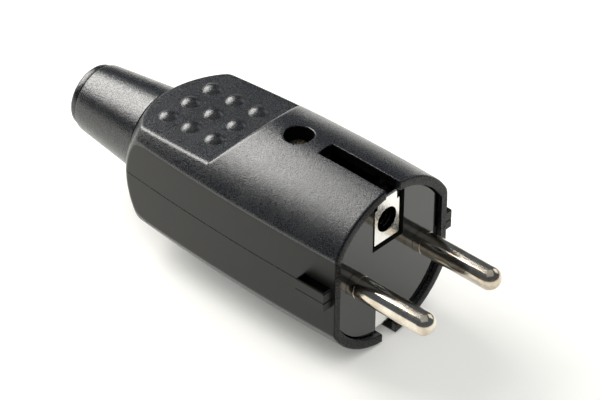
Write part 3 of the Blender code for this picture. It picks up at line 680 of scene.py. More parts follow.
@dataclass(frozen=True)
class SatinRubber:
    """Smooth black rubber with a faint flow mottle."""

    name: str
    dark: Colour = (0.004, 0.004, 0.005)
    pale: Colour = (0.011, 0.012, 0.013)
    roughness: float = 0.23
    grain: float = 0.3
    depth: float = 0.06

    def build(self) -> Material:
        """Return the material."""
        shader = Shader(self.name)
        mottle = shader.noise(1.4, 4.0, roughness=0.6)
        grain = shader.noise(self.grain, 3.0)
        shader.set(Base_Color=shader.mix(mottle, self.dark, self.pale), IOR=1.62)
        shader.set(Specular_IOR_Level=shader.ramp(grain, 0.34, 0.66, 0.40, 0.66))
        shader.set(Roughness=shader.ramp(mottle, 0.3, 0.7, self.roughness - 0.04,
                                         self.roughness + 0.05))
        shader.bump(grain, self.depth)
        return shader.material


@dataclass(frozen=True)
class GlossMoulding:
    """Glossy black moulding with the faintest waviness."""

    name: str
    dark: Colour = (0.024, 0.024, 0.022)
    pale: Colour = (0.032, 0.032, 0.029)
    roughness: float = 0.08
    grain: float = 0.25
    depth: float = 0.001

    def build(self) -> Material:
        """Return the material."""
        shader = Shader(self.name)
        wave = shader.noise(5.0)
        grain = shader.noise(self.grain)
        shader.set(Base_Color=shader.mix(grain, self.dark, self.pale), IOR=1.7)
        shader.set(Roughness=shader.ramp(wave, 0.3, 0.7, self.roughness - 0.02,
                                         self.roughness + 0.03))
        shader.bump(grain, self.depth)
        return shader.material


@dataclass(frozen=True)
class PlatedMetal:
    """Polished plate over drawn metal, with fine lines along one axis and soft tarnish.

    Where shade_behind is given, the upper part past that place along Y is painted dark: painted
    shade.
    """

    name: str
    bright: Colour
    dull: Colour
    roughness: float
    stretch: Point = (1.0, 14.0, 1.0)
    line: float = 0.12
    depth: float = 0.003
    # Colour of the painted shade on the upper part behind the given place.
    dim: Colour = (0.03, 0.028, 0.025)
    shade_behind: float | None = None

    def build(self) -> Material:
        """Return the material."""
        shader = Shader(self.name)
        lines = shader.noise(self.line, 3.0, self.stretch, 0.6)
        tarnish = shader.noise(3.0, 3.0)
        colour = shader.mix(shader.ramp(tarnish, 0.35, 0.75), self.bright, self.dull)
        # Painted shade: the upper part behind the given place takes the dark colour.
        if self.shade_behind is not None:
            behind = shader.product(shader.band(shader.axis("Y"), self.shade_behind, 60.0),
                                    shader.band(shader.axis("Z"), 0.0, 60.0))
            colour = shader.mix(behind, colour, self.dim)
        shader.set(Base_Color=colour, Metallic=1.0)
        rough = shader.ramp(lines, 0.3, 0.75, self.roughness * 0.7, self.roughness * 1.5)
        shader.set(Roughness=shader.math("ADD", rough, shader.ramp(tarnish, 0.4, 0.8, 0.0, 0.05)))
        shader.bump(lines, self.depth)
        return shader.material


@dataclass
class Housing:
    """The two half shells: outer form, cavity, slots, wells, grip dots and lugs."""

    barrel_radius: float = 18.635
    bulge_centre: float = 12.3
    bulge_arc: float = 537.0
    flat_edge: float = 9.19
    rim_front: float = -1.0
    rim_rounding: float = 0.4
    opening_radius: float = 16.45
    opening_flat: float = 14.5
    opening_rear: float = 28.0
    cavity_front: float = 33.2
    cavity_radius: float = 9.6
    rib_radius: float = 5.8
    rib_places: tuple[float, float] = (36.5, 38.1)
    neck_rib_radius: float = 8.0
    neck_rib_places: tuple[float, float] = (50.6, 52.4)
    rear_wall: float = 56.0
    neck_hole: float = 7.3
    groove_depth: float = 0.75
    groove_places: tuple[float, float] = (3.0, 5.4)
    inner_lip: float = 0.2
    parting: float = 0.2
    parting_gap: float = 0.16
    rear_start: float = 53.85
    rear_apex: float = 61.85
    grip_front: float = 35.2
    grip_height: float = 12.54
    grip_fall: float = 0.055
    grip_step: float = math.radians(50.0)
    dot_centre: float = 46.2
    dot_pitch: float = 6.23
    dot_radius: float = 2.1
    dot_height: float = 0.95
    dot_foot: float = 0.4
    edge_round: float = 0.45
    step_round: float = 0.7
    flat_round: float = 0.3
    rear_flat_round: float = 0.7
    rear_round: float = 0.6
    rear_reach: float = 3.0
    grip_round: float = 0.25
    slot_half: float = 2.05
    slot_end: float = 16.5
    slot_floor: float = 14.1
    slot_lip: float = 0.12
    lip_round: float = 0.3
    screw_place: float = 23.3
    well_radius: float = 3.0
    well_floor: float = 12.4
    bore_radius: float = 2.05
    bore_end: float = 21.0
    boss_radius: float = 4.6
    nut_across: float = 6.6
    nut_seat: float = -11.4
    nut_mouth: float = -22.0
    clamp_place: float = 44.0
    clamp_spacing: float = 11.4
    post_radius: float = 1.9
    post_top: float = 0.5
    post_bore: float = 1.3
    post_floor: float = -4.9
    post_mouth: float = 3.0
    lug_root: float = 1.0
    lug_reach: float = 18.46
    lug_front: float = -0.2
    lug_rear: float = 7.3
    lug_above: float = 2.16
    lug_below: float = 1.94
    lug_wall: float = 0.45
    lug_edge: float = 0.18
    clear: float = 2.0
    quarter_cells: tuple[int, int, int] = (30, 16, 16)
    row_cells: tuple[int, int, int, int, int] = (5, 44, 16, 34, 26)

    def barrel(self, along: Array) -> Array:
        """Return the barrel's radius, which falls off both ways along a shallow parabola."""
        return self.barrel_radius - (along - self.bulge_centre) ** 2 / (2.0 * self.bulge_arc)

    def flat(self, along: Array) -> Array:
        """Return how far a flat is from the middle: its long edges keep their height."""
        return np.sqrt(self.barrel(along) ** 2 - self.flat_edge ** 2)

    def flat_at(self, along: float) -> float:
        """Return how far a flat is from the middle at one place."""
        return float(self.flat(np.array(along)))

    def panel(self, along: Array) -> Array:
        """Return the height of the grip panel's plane, which falls evenly to the rear."""
        return self.grip_height - self.grip_fall * (along - self.grip_front)

    @property
    def dome_radius(self) -> float:
        """The radius of the sphere through the barrel's rear edge and the apex."""
        depth = self.rear_apex - self.rear_start
        edge = float(self.barrel(np.array(self.rear_start)))
        return (edge ** 2 + depth ** 2) / (2.0 * depth)

    @property
    def dome_centre(self) -> float:
        """Where the dome's sphere has its middle."""
        return self.rear_apex - self.dome_radius

    def base_radius(self, along: Array) -> Array:
        """Return the radius of the turned form: barrel, rounded rim edge and rear dome.

        The rim's edge is a quarter circle, and the dome a sphere about a point on the axis.

        Args:
            along: Places along the axis.

        Returns:
            The radius at each.
        """
        depth = np.clip(self.rim_front + self.rim_rounding - along, 0.0, self.rim_rounding)
        rim = self.rim_rounding - np.sqrt(self.rim_rounding ** 2 - depth ** 2)
        behind = np.clip(along - self.dome_centre, 0.0, self.dome_radius)
        dome = np.sqrt(np.maximum(self.dome_radius ** 2 - behind ** 2, 0.0))
        return smooth_min(self.barrel(along) - rim, dome, self.rear_round)

    def grip(self, along: Array) -> Array:
        """Return the height limit of the grip: the panel's plane or the step wall before it."""
        wall = self.grip_height + (self.grip_front - along) * math.tan(self.grip_step)
        return -smooth_min(-self.panel(along), -wall, self.grip_round)

    def walls(self, angle: Array, along: Array) -> tuple[Array, Array]:
        """Return the radius at which a flat and the radius at which a grip is met.

        Args:
            angle: Angles from the top.
            along: Places along the axis.

        Returns:
            The distance to the flat over the sine, and the grip's height over the cosine.
        """
        across = np.maximum(np.abs(np.sin(angle)), 1e-6)
        upward = np.maximum(np.abs(np.cos(angle)), 1e-6)
        return self.flat(along) / across, self.grip(along) / upward

    def radius(self, angle: Array, along: Array) -> Array:
        """Return the outer radius, whose rounds widen at the grip's step and towards the rear.

        Args:
            angle: Angles from the top.
            along: Places along the axis.

        Returns:
            The radius at each.
        """
        near_step = np.clip(self.grip_front + 0.5 - along, 0.0, 1.0)
        near_rear = np.clip((along - self.rear_start) / self.rear_reach + 1.0, 0.0, 1.0)
        edge = self.edge_round + (self.step_round - self.edge_round) * near_step
        side = self.flat_round + (self.rear_flat_round - self.flat_round) * near_rear
        flat, grip = self.walls(angle, along)
        return smooth_min(smooth_min(self.base_radius(along), flat, side), grip, edge)

    def quarter_angles(self, along: Array) -> Array:
        """Return the angles of a quarter of the grid's columns at given places.

        They crowd at the panel's edge and at the edge of the flat, which they follow.

        Args:
            along: Places along the axis.

        Returns:
            One row of angles for each column, and one column for each place.
        """
        held = np.clip(along, self.grip_front, self.rear_start)
        panel = np.arccos(self.panel(held) / self.barrel(held))
        flat = np.arcsin(np.minimum(self.flat(along) / self.barrel(along), 1.0))
        zero = np.zeros_like(along)
        ends = (zero, panel, flat, zero + 0.5 * math.pi)
        return np.concatenate([
            spread(start, end, cells, crowd) for start, end, cells, crowd
            in zip(ends[:-1], ends[1:], self.quarter_cells, (0.8, 0.9, 0.9))
        ])

    def rear_edge(self, angle: Array) -> Array:
        """Return where the dome meets the flat or the panel at an angle, by bisection.

        Args:
            angle: Angles from the top.

        Returns:
            The place along the axis at each.
        """
        low = np.full_like(angle, self.rear_start)
        high = np.full_like(angle, self.rear_apex)
        for _ in range(40):
            middle = 0.5 * (low + high)
            outside = self.base_radius(middle) > np.minimum(*self.walls(angle, middle))
            low = np.where(outside, middle, low)
            high = np.where(outside, high, middle)
        return 0.5 * (low + high)

    def rows(self, angle: Array) -> Array:
        """Return the places along the axis of every grid row, for one angle a column.

        The rows follow the rim's rounding, the slanted step, the panel's front and the rear
        edge, and past it they follow equal steps on the dome.

        Args:
            angle: Angles from the top.

        Returns:
            One row of places for each grid row.
        """
        rim_cells, barrel_cells, step_cells, panel_cells, dome_cells = self.row_cells
        zero = 0.0 * angle
        rim_angle = np.linspace(0.0, 0.5 * math.pi, rim_cells + 1)[:-1, None]
        start, grip = self.rim_front + zero, self.grip_front + zero
        drop = self.barrel(grip) * np.cos(angle) - self.grip_height
        step = self.grip_front - np.maximum(drop / math.tan(self.grip_step), 0.5)
        rear = self.rear_edge(angle)
        begin = np.arccos((rear - self.dome_centre) / self.dome_radius)
        return np.concatenate([
            start + self.rim_rounding * (1.0 - np.cos(rim_angle)),
            spread(start + self.rim_rounding, step, barrel_cells, 0.6),
            spread(step, grip, step_cells, 0.9),
            spread(grip, rear, panel_cells, 0.9),
            self.dome_centre + self.dome_radius * np.cos(spread(begin, zero, dome_cells, 0.45)),
        ])

    def outer(self, name: str) -> Object:
        """Return the whole outer form as one closed surface.

        Columns and rows follow each other's edges, so they are worked out in turn a few times.

        Args:
            name: Name of the object.

        Returns:
            The surface, whose first quarter is mirrored to the other three.
        """
        own = np.arange(sum(self.quarter_cells))
        along = self.rows(self.quarter_angles(np.full(own.size, self.grip_front))[own, own])
        for _ in range(4):
            angles = np.stack([self.quarter_angles(row)[own, own] for row in along])
            along = np.stack([self.rows(row)[number] for number, row in enumerate(angles)])
        side = np.full_like(angles[:, :1], 0.5 * math.pi)
        side_along = np.stack([self.rows(row)[number] for number, row in enumerate(side)])
        turn = np.hstack([angles, side, math.pi - angles[:, :0:-1]])
        place = np.hstack([along, side_along, along[:, :0:-1]])
        turn = np.hstack([turn, 2.0 * side, 2.0 * math.pi - turn[:, :0:-1]])
        place = np.hstack([place, along[:, :1], place[:, :0:-1]])
        reach = self.radius(turn, place)
        rings = np.stack([reach * np.sin(turn), place, reach * np.cos(turn)], -1)
        return loft(name, rings)

    def flatted(self, name: str, profile: Array, flat: float, facets: int = 144) -> Object:
        """Return a turned surface whose points are held within a distance in X.

        Args:
            name: Name of the object.
            profile: Rows of radius and place along Y.
            flat: How far out in X a point may be.
            facets: Facets round the axis.

        Returns:
            The flatted surface.
        """
        turn = (np.arange(facets) + 0.5) * 2.0 * math.pi / facets
        radius, along = profile[:, :1], profile[:, 1:]
        across = np.clip(radius * np.sin(turn), -flat, flat)
        rings = np.stack([across, along + 0.0 * turn, radius * np.cos(turn)], -1)
        return loft(name, rings)

    def cavity(self) -> list[Object]:
        """Return the tools of the space inside, with the carrier's groove and the two ribs.

        Returns:
            One turned tool for the rooms and one for the groove, both held to the flats' walls.
        """
        opening, rear, lip = self.opening_radius, self.cavity_radius, self.inner_lip
        profile = [(opening + lip, self.rim_front - self.clear),
                   *arc((opening + lip, self.rim_front + lip), lip, 270.0, 180.0, 3),
                   (opening, self.opening_rear), (rear, self.cavity_front)]
        for radius, (front, back) in ((self.rib_radius, self.rib_places),
                                      (self.neck_rib_radius, self.neck_rib_places)):
            profile += [(rear, front), (radius, front), (radius, back), (rear, back)]
        profile += [(rear, self.rear_wall), (self.neck_hole, self.rear_wall),
                    (self.neck_hole, self.rear_apex + self.clear)]
        groove = np.array([(opening + self.groove_depth, place) for place in self.groove_places])
        return [self.flatted("cavity", np.array(profile), self.opening_flat),
                self.flatted("groove", groove, self.opening_flat + self.groove_depth)]

    def flare(self, half: float, lip: float) -> tuple[Array, Array]:
        """Return the section of a wall that turns out where it leaves the barrel.

        The wall stands at its own distance, bends out along a quarter circle and goes on above.

        Args:
            half: How far the wall is from the middle of its opening.
            lip: The radius of the bend.

        Returns:
            The distances, and the heights over the barrel, the first of which is far below it.
        """
        angle = np.radians(np.linspace(0.0, 90.0, 5))
        across = np.concatenate([[half], half + lip * (1.0 - np.cos(angle)), [half + lip]])
        rise = np.concatenate([[-10.0], -lip * (1.0 - np.sin(angle)), [self.clear]])
        return across, rise

    def slot(self, side: int) -> Object:
        """Return the cutter of a side earth slot, flared where it leaves the barrel.

        Its section is carried along Y, and the last ring flares to the rear as well.

        Args:
            side: One for the upper slot and minus one for the lower.

        Returns:
            The cutter.
        """
        across, rise = self.flare(self.slot_half, self.slot_lip)
        rings = []
        for along in (self.rim_front - self.clear, *np.linspace(self.rim_front, self.slot_end, 12)):
            surface = np.sqrt(self.barrel(np.array(along)) ** 2 - across ** 2)
            height = np.where(rise < -self.clear, self.slot_floor, surface + rise)
            shift = np.where(along == self.slot_end, across - self.slot_half, 0.0)
            right = np.column_stack([across, along + shift, side * height])
            rings.append(np.vstack([right, right[::-1] * (-1.0, 1.0, 1.0)]))
        return loft("slot", np.stack(rings))

    def well(self) -> Object:
        """Return the cutter of the screw's well, flared where it leaves the round barrel."""
        turn = (np.arange(64) + 0.5) * 2.0 * math.pi / 64
        reach, rise = (part[:, None] for part in self.flare(self.well_radius, self.lip_round))
        across = reach * np.sin(turn)
        along = self.screw_place + reach * np.cos(turn)
        surface = np.sqrt(self.barrel(along) ** 2 - across ** 2)
        height = np.where(rise < -self.clear, self.well_floor, surface + rise)
        return loft("well", np.stack([across, along, height], -1))

    def dot(self, side: int, row: int, column: int) -> Object:
        """Return one low dome of a grip panel, sunk a little into the panel's plane.

        Its radius and height give the sphere that it is the cap of.

        Args:
            side: One for the upper panel and minus one for the lower.
            row: Its row along the plug, counted from the middle one.
            column: Its column across the plug, counted from the middle one.

        Returns:
            The dome.
        """
        sphere = (self.dot_radius ** 2 + self.dot_height ** 2) / (2.0 * self.dot_height)
        edge = math.asin(self.dot_radius / sphere)
        angle = np.linspace(edge, 0.02, 10)
        cap = np.column_stack([sphere * np.sin(angle), sphere * (np.cos(angle) - math.cos(edge))])
        foot = np.array([(self.dot_radius, -self.dot_foot)])
        item = turned("dot", np.vstack([foot, cap]), 40)
        along = self.dot_centre + row * self.dot_pitch
        height = float(self.panel(np.array(along)))
        lean = Matrix.Rotation(-side * math.atan(self.grip_fall), 4, "X")
        stand = Matrix.Rotation(side * math.radians(90.0), 4, "X")
        place = Vector((column * self.dot_pitch, along, side * height)) * MM
        item.data.transform(Matrix.Translation(place) @ lean @ stand)
        return item

    def face(self, part: Half) -> float:
        """Return the height of a half's parting face, half of the gap off the parting."""
        return self.parting + part.value * 0.5 * self.parting_gap

    def half(self, part: Half) -> Object:
        """Return the tool that keeps one half."""
        face, far = self.face(part), part.value * 40.0
        return box("half", (-40.0, -5.0, min(face, far)), (40.0, 70.0, max(face, far)))

    def lug(self, side: int, low: float, high: float) -> Object:
        """Return one lug with small rounds on its long edges, rooted in the flat's wall.

        Args:
            side: One for the right flat and minus one for the left.
            low: The height of its foot.
            high: The height of its top.

        Returns:
            The lug.
        """
        near, far = side * (self.opening_flat + self.lug_root), side * self.lug_reach
        edge = self.lug_edge
        outline = np.array([
            (self.lug_front, low), (self.lug_rear, low),
            (self.lug_rear, high - edge), (self.lug_rear - edge, high),
            (self.lug_front + edge, high), (self.lug_front, high - edge),
        ])
        return prism("lug", outline, "X", min(near, far), max(near, far))

    def pocket(self, side: int) -> Object:
        """Return the cutter of the open pocket between a flat and an upper lug's thin walls.

        Args:
            side: One for the right flat and minus one for the left.

        Returns:
            The cutter.
        """
        near, far = side * self.flat_at(self.lug_front), side * (self.lug_reach - self.lug_wall)
        low = (min(near, far), self.lug_front + self.lug_wall,
               self.face(Half.UPPER) + self.lug_wall)
        high = (max(near, far), self.lug_rear - self.lug_wall, self.parting + self.lug_above + 0.3)
        return box("pocket", low, high)

    def fit_flank(self, shell: Object, part: Half, flank: int) -> None:
        """Add what a half has on one side: its lug, and below also a bored clamp post.

        Args:
            shell: The half shell.
            part: Which half it is.
            flank: One for the right side and minus one for the left.
        """
        if part is Half.UPPER:
            combine(shell, Cut.ADD, self.lug(flank, self.face(part), self.parting + self.lug_above))
            combine(shell, Cut.AWAY, self.pocket(flank))
            return
        combine(shell, Cut.ADD, self.lug(flank, self.parting - self.lug_below, self.face(part)))
        place = (0.5 * flank * self.clamp_spacing, self.clamp_place)
        combine(shell, Cut.ADD, upright("post", self.post_radius, -self.cavity_radius,
                                        self.post_top, *place))
        combine(shell, Cut.AWAY, upright("hole", self.post_bore, self.post_floor,
                                         self.post_mouth, *place))

    def nut_pocket(self) -> Object:
        """Return the six-sided cutter that holds the nut, from its width over the flats."""
        corner = self.nut_across / math.sqrt(3.0)
        angle = np.radians(60.0 * np.arange(6))
        outline = np.column_stack([corner * np.cos(angle),
                                   self.screw_place + corner * np.sin(angle)])
        return prism("nut_pocket", outline, "Z", self.nut_mouth, self.nut_seat)

    def build(self, part: Half) -> Object:
        """Return one half shell, cut from the outer form in the order of the moulding.

        Args:
            part: Which half it is.

        Returns:
            The shell.
        """
        side = part.value
        shell = combine(self.outer("shell"), Cut.SHARE, self.half(part))
        combine(shell, Cut.AWAY, *self.cavity())
        for row in (-1, 0, 1):
            for column in (-1, 0, 1):
                combine(shell, Cut.ADD, self.dot(side, row, column))
        end = side * 0.5 * (self.barrel_radius + self.opening_radius)
        combine(shell, Cut.ADD, upright("boss", self.boss_radius, self.face(part), end,
                                        y=self.screw_place, facets=48))
        for flank in (-1, 1):
            self.fit_flank(shell, part, flank)
        combine(shell, Cut.AWAY, upright("bore", self.bore_radius, -self.bore_end, self.bore_end,
                                         y=self.screw_place, facets=40))
        combine(shell, Cut.AWAY, self.well() if part is Half.UPPER else self.nut_pocket())
        return combine(shell, Cut.AWAY, self.slot(side))

    def dress(self, material: Material) -> None:
        """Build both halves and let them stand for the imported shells.

        Args:
            material: The housing's rubber.
        """
        for part, word in ((Half.UPPER, "upper"), (Half.LOWER, "lower")):
            shell = finished(self.build(part), word + "_housing", material)
            stand_for(shell, "housing_rubber", word + "_shell")


@dataclass
class KinkSleeve:
    """The tapered sleeve, with its neck and flange inside the housing."""

    base_radius: float = 9.45
    base_place: float = 60.17
    base_edge: tuple[float, float] = (0.2, 0.25)
    neck_radius: float = 7.0
    neck_place: float = 61.0
    shoulder_radius: float = 7.4
    shoulder: float = 77.8
    lip_radius: float = 6.8
    end: float = 79.9
    lip_rounding: float = 0.75
    lip_line: tuple[tuple[float, float], ...] = ((0.03, 0.02), (-0.02, 0.16), (0.06, 0.28),
                                                 (0.1, 0.36))
    corner: float = 0.3
    bore_edge: float = 0.35
    bore: float = 5.2
    flange_radius: float = 9.3
    flange_front: float = 52.7
    flange_rear: float = 55.7
    rise: float = 0.1

    def dress(self, material: Material) -> None:
        """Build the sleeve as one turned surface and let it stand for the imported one.

        Its cone runs straight from the base to the shoulder, and quarter circles round the
        shoulder, the lip and the mouth of the bore.

        Args:
            material: The sleeve's rubber.
        """
        base, top = (self.base_radius, self.base_place), (self.shoulder_radius, self.shoulder)
        profile = np.vstack([
            [(self.bore, self.flange_front), (self.flange_radius, self.flange_front),
             (self.flange_radius, self.flange_rear), (self.neck_radius, self.flange_rear),
             (self.neck_radius, self.neck_place),
             (self.base_radius - self.base_edge[0], self.base_place),
             (self.base_radius, self.base_place + self.base_edge[1])],
            np.linspace(base, top, 12)[1:-1],
            arc((top[0] - self.corner, top[1] - self.corner), self.corner, 6.0, 80.0, 4),
            np.array(self.lip_line) + (self.lip_radius, self.shoulder),
            arc((self.lip_radius - self.lip_rounding, self.end - self.lip_rounding),
                self.lip_rounding, 0.0, 90.0, 8),
            arc((self.bore + self.bore_edge, self.end - self.bore_edge), self.bore_edge,
                90.0, 180.0, 4),
        ])
        sleeve = moved(turned("cable_sleeve", profile, 128, ring_loop=True), z=self.rise)
        stand_for(finished(sleeve, "cable_sleeve", material, 40.0), "sleeve_rubber", "kink_sleeve")


@dataclass
class ContactPin:
    """One round pin with its square terminal."""

    side: int
    radius: float = 2.4
    tip: float = -20.0
    ring_place: float = -1.9
    ring_depth: float = 0.07
    ring_floor: float = 0.06
    ring_mouth: float = 0.1
    spacing: float = 19.0
    terminal_front: float = 6.3
    terminal_length: float = 10.6
    terminal_width: float = 6.4
    wire_bore: float = 1.75
    wire_start: float = 9.0
    screw_bore: float = 1.8
    screw_place: float = 12.0

    def dress(self, material: Material) -> None:
        """Build the pin, with its half-round tip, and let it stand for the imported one.

        Args:
            material: The pin's plate.
        """
        word = "left" if self.side < 0 else "right"
        ring, radius = self.ring_place, self.radius
        shank = [(radius, ring - self.ring_mouth), (radius - self.ring_depth, ring - self.ring_floor),
                 (radius - self.ring_depth, ring + self.ring_floor),
                 (radius, ring + self.ring_mouth)]
        pin = turned("pin", np.vstack([
            arc((0.0, self.tip + radius), radius, 271.0, 360.0, 16),
            [(radius, -12.0), (radius, -6.0), *shank, (radius, 0.0), (radius, 7.5)],
        ]), 64)
        half, end = 0.5 * self.terminal_width, self.terminal_front + self.terminal_length
        combine(pin, Cut.ADD, box("terminal", (-half, self.terminal_front, -half),
                                  (half, end, half)))
        wire = turned("wire", np.array([(self.wire_bore, self.wire_start),
                                        (self.wire_bore, end + 2.0)]), 32)
        combine(pin, Cut.AWAY, wire, upright("screw", self.screw_bore, 0.0, half + 2.0,
                                             y=self.screw_place))
        moved(pin, x=0.5 * self.side * self.spacing)
        stand_for(finished(pin, "contact_pin_" + word, material, 40.0), "nickel_plate",
                  "pin_" + word)


@dataclass
class EarthTube:
    """The tube behind the earth contact's plate, with fine turned ridges in its bore."""

    hole_height: float = 9.9
    hole_radius: float = 2.7
    wall: float = 0.6
    start: float = 1.5
    length: float = 10.6
    ridge: float = 0.1
    ridge_pitch: float = 0.9

    def dress(self, material: Material) -> None:
        """Build the tube, whose ridges are a raised cosine along Y.

        Args:
            material: The tube's plate.
        """
        along = np.linspace(self.start, self.start + self.length, 140)
        wave = 0.5 - 0.5 * np.cos(2.0 * math.pi * (along - self.start) / self.ridge_pitch)
        outer = self.hole_radius + self.wall
        profile = np.vstack([
            [(outer, along[-1]), (outer, along[0])],
            np.column_stack([self.hole_radius - self.ridge * wave, along]),
        ])
        tube = moved(turned("earth_tube", profile, 64, ring_loop=True), z=self.hole_height)
        stand_for(finished(tube, "earth_tube", material, 50.0), "nickel_plate", "earth_socket")


@dataclass
class EdgedCopy:
    """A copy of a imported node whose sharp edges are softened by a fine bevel.

    Collars are thin rings that close the air round the pins, a little behind the front face.
    """

    node: str
    name: str
    slot: str
    bevel: float = 0.1
    collars: tuple[float, ...] = ()
    collar_bore: float = 2.42
    collar_radius: float = 3.2
    collar_places: tuple[float, float] = (0.05, 3.4)

    def fit_collars(self, item: Object) -> None:
        """Add the collars to the copy.

        Args:
            item: The copy, with its loose triangles merged.
        """
        front, rear = self.collar_places
        loop = np.array([(self.collar_bore, front), (self.collar_radius, front),
                         (self.collar_radius, rear), (self.collar_bore, rear)])
        for across in self.collars:
            combine(item, Cut.ADD, moved(turned("collar", loop, 64, ring_loop=True), x=across))

    def dress(self, material: Material) -> None:
        """Merge the node's loose triangles, dissolve the flat ones and bevel what is sharp.

        Args:
            material: What the copy is made of.
        """
        item = linked(self.name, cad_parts[self.node].data.copy())
        with MeshEdit(item) as grid:
            bmesh.ops.remove_doubles(grid, verts=grid.verts, dist=1e-6)
        self.fit_collars(item)
        with MeshEdit(item) as grid:
            bmesh.ops.dissolve_limit(grid, angle_limit=math.radians(0.5), verts=grid.verts,
                                     edges=grid.edges)
        edges = item.modifiers.new("soft_edges", "BEVEL")
        edges.width = self.bevel * MM
        edges.segments = 2
        edges.limit_method = "ANGLE"
        edges.angle_limit = math.radians(40.0)
        faces = item.modifiers.new("flat_faces", "WEIGHTED_NORMAL")
        faces.mode = "FACE_AREA"
        faces.weight = 100
        faces.keep_sharp = True
        stand_for(finished(item, self.name, material, 40.0), self.slot, self.node)


@dataclass(frozen=True)
class Lamp:
    """One rectangular lamp, with its lengths in millimetres.

    Its strength is its radiance, in watts per square metre and steradian.
    """

    name: str
    place: Point
    size: tuple[float, float]
    strength: float
    colour: Colour = (1.0, 1.0, 1.0)
    aim: Point = (0.0, 30.0, 0.0)

    def hang(self) -> None:
        """Put the lamp in its place, facing its aim."""
        data = bpy.data.lights.new(self.name, "AREA")
        data.shape = "RECTANGLE"
        data.size, data.size_y = (side * MM for side in self.size)
        data.energy = self.strength * math.pi * data.size * data.size_y
        data.color = self.colour
        middle = Vector(self.place) * MM
        turn = (middle - Vector(self.aim) * MM).to_track_quat("Z", "Y").to_matrix().to_4x4()
        linked(self.name, data).matrix_world = Matrix.Translation(middle) @ turn


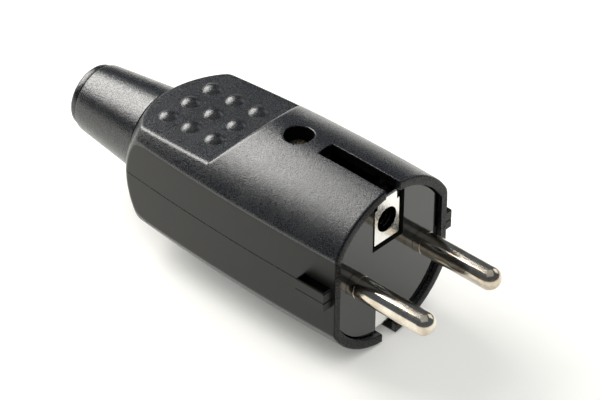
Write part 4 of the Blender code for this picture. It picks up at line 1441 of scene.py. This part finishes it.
@dataclass
class Studio:
    """Floor, sky, lamps and the camera at the photograph's angle."""

    eye: Point = (-446.483, -383.499, 458.538)
    azimuth: float = -47.6935
    elevation: float = 37.0486
    roll: float = 0.7234
    lens: float = 233.326
    floor_reach: float = 4000.0
    floor_colour: Colour = (0.60, 0.595, 0.575)
    floor_light: Colour = (1.0, 0.99, 0.94)
    floor_glow: float = 0.57
    # Reach of the contact shadow painted into the floor's glow, and the glow left inside it.
    painted_shadow_reach: float = 18.0
    painted_shadow_glow: float = 0.28
    sky: Colour = (0.09, 0.105, 0.125)
    lamps: tuple[Lamp, ...] = (
        Lamp("overhead", (-60.0, -60.0, 700.0), (900.0, 900.0), 0.35),
        Lamp("window", (-35.0, 470.0, 372.0), (490.0, 420.0), 8.8, (1.0, 0.985, 0.95)),
        Lamp("side_card", (520.0, -70.0, 270.0), (340.0, 340.0), 1.2),
        Lamp("far_window", (420.0, 560.0, 400.0), (320.0, 260.0), 0.16, (0.80, 0.92, 1.0)),
    )

    def camera(self) -> None:
        """Place the camera: its back vector comes from azimuth and elevation, then it rolls."""
        azimuth, elevation, roll = (math.radians(value) for value in
                                    (self.azimuth, self.elevation, self.roll))
        back = Vector((math.sin(azimuth) * math.cos(elevation),
                       -math.cos(azimuth) * math.cos(elevation), math.sin(elevation)))
        right = Vector((math.cos(azimuth), math.sin(azimuth), 0.0))
        up = back.cross(right)
        across = math.cos(roll) * right + math.sin(roll) * up
        upward = math.cos(roll) * up - math.sin(roll) * right
        data = bpy.data.cameras.new("camera")
        data.lens = self.lens
        data.sensor_width = 36.0
        data.clip_start = 0.01
        data.clip_end = 10.0
        item = linked("camera", data)
        turn = Matrix((across, upward, back)).transposed().to_4x4()
        item.matrix_world = Matrix.Translation(Vector(self.eye) * MM) @ turn
        bpy.context.scene.camera = item

    def floor(self) -> None:
        """Lay a wide pale floor under the lowest point of the plug.

        What the camera sees of it glows evenly, with a contact shadow painted into the glow where the
        plug stands close over it.
        """
        lowest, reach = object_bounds()[0][2] / MM, self.floor_reach
        item = box("floor", (-reach, -reach, lowest - 20.0), (reach, reach, lowest))
        shader = Shader("floor_paper")
        # Painted shadow: ambient occlusion lowers the glow where the plug stands close over the
        # floor.
        near = shader.node("ShaderNodeAmbientOcclusion", samples=8)
        shader.feed(near.inputs["Distance"], self.painted_shadow_reach * MM)
        painted_contact_shadow = shader.ramp(near.outputs["AO"], 0.02, 0.72, self.painted_shadow_glow, 1.0)
        shader.set(Base_Color=self.floor_colour, Roughness=0.9, Specular_IOR_Level=0.2,
                   Emission_Color=self.floor_light,
                   Emission_Strength=shader.product(shader.seen(), painted_contact_shadow, self.floor_glow))
        item.data.materials.append(shader.material)
        item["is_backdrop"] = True

    def lights(self) -> None:
        """Set the dim sky, the soft light overhead, the wide window behind and two dim fills."""
        world = bpy.data.worlds.new("sky")
        bpy.context.scene.world = world
        world.use_nodes = True
        world.node_tree.nodes["Background"].inputs["Color"].default_value = (*self.sky, 1.0)
        for lamp in self.lamps:
            lamp.hang()

    def build(self) -> None:
        """Set up the whole studio."""
        self.camera()
        self.lights()
        self.floor()
        bpy.context.scene.view_settings.view_transform = "Standard"


def main() -> None:
    """Build and dress every piece, then set up the studio."""
    logging.basicConfig(level=logging.INFO, format="%(message)s")
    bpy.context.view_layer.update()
    even = (1.0, 1.0, 1.0)
    nickel = PlatedMetal("nickel_plate", (0.84, 0.77, 0.66), (0.58, 0.49, 0.37), 0.14).build()
    # The earth strip's upper part behind the front is painted dark: painted shade where it runs back
    # into the housing.
    strip = PlatedMetal("nickel_strip", (0.97, 0.96, 0.93), (0.93, 0.91, 0.87), 0.2,
                        even, 0.3, shade_behind=0.7).build()
    # The earth tube's metal is painted dark: painted shade in the bore of the earth hole.
    shaded_tube_metal = PlatedMetal("shaded_tube_nickel", (0.16, 0.15, 0.14), (0.08, 0.075, 0.07), 0.2, even).build()
    zinc = PlatedMetal("zinc_steel", (0.84, 0.72, 0.50), (0.50, 0.44, 0.34), 0.26,
                       even, 0.3).build()
    matt = SatinRubber("clamp_plastic", (0.04, 0.04, 0.04), (0.06, 0.06, 0.06), 0.5).build()
    housing = Housing()
    housing.dress(SparkedRubber(housing).build())
    KinkSleeve().dress(SatinRubber("sleeve_rubber").build())
    EdgedCopy("contact_carrier", "carrier_moulding", "carrier_plastic",
              collars=(-9.5, 9.5)).dress(GlossMoulding("carrier_plastic").build())
    for side in (-1, 1):
        ContactPin(side).dress(nickel)
    EarthTube().dress(shaded_tube_metal)
    EdgedCopy("earth_bow", "earth_strip", "nickel_plate", 0.12).dress(strip)
    screws = ("housing_screw", "screw_washer", "housing_nut", "earth_screw", "earth_washer",
              "terminal_screw_left", "terminal_screw_right", "clamp_screw_left",
              "clamp_screw_right")
    for material, nodes in ((zinc, screws), (matt, ("clamp_bar",)),
                            (nickel, ("wire_guard_left", "wire_guard_right"))):
        for node in nodes:
            coat(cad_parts[node], material)
            LOG.info("%s: packed solid in %s", node, material.name)
    Studio().build()


if __name__ == "__main__":
    main()
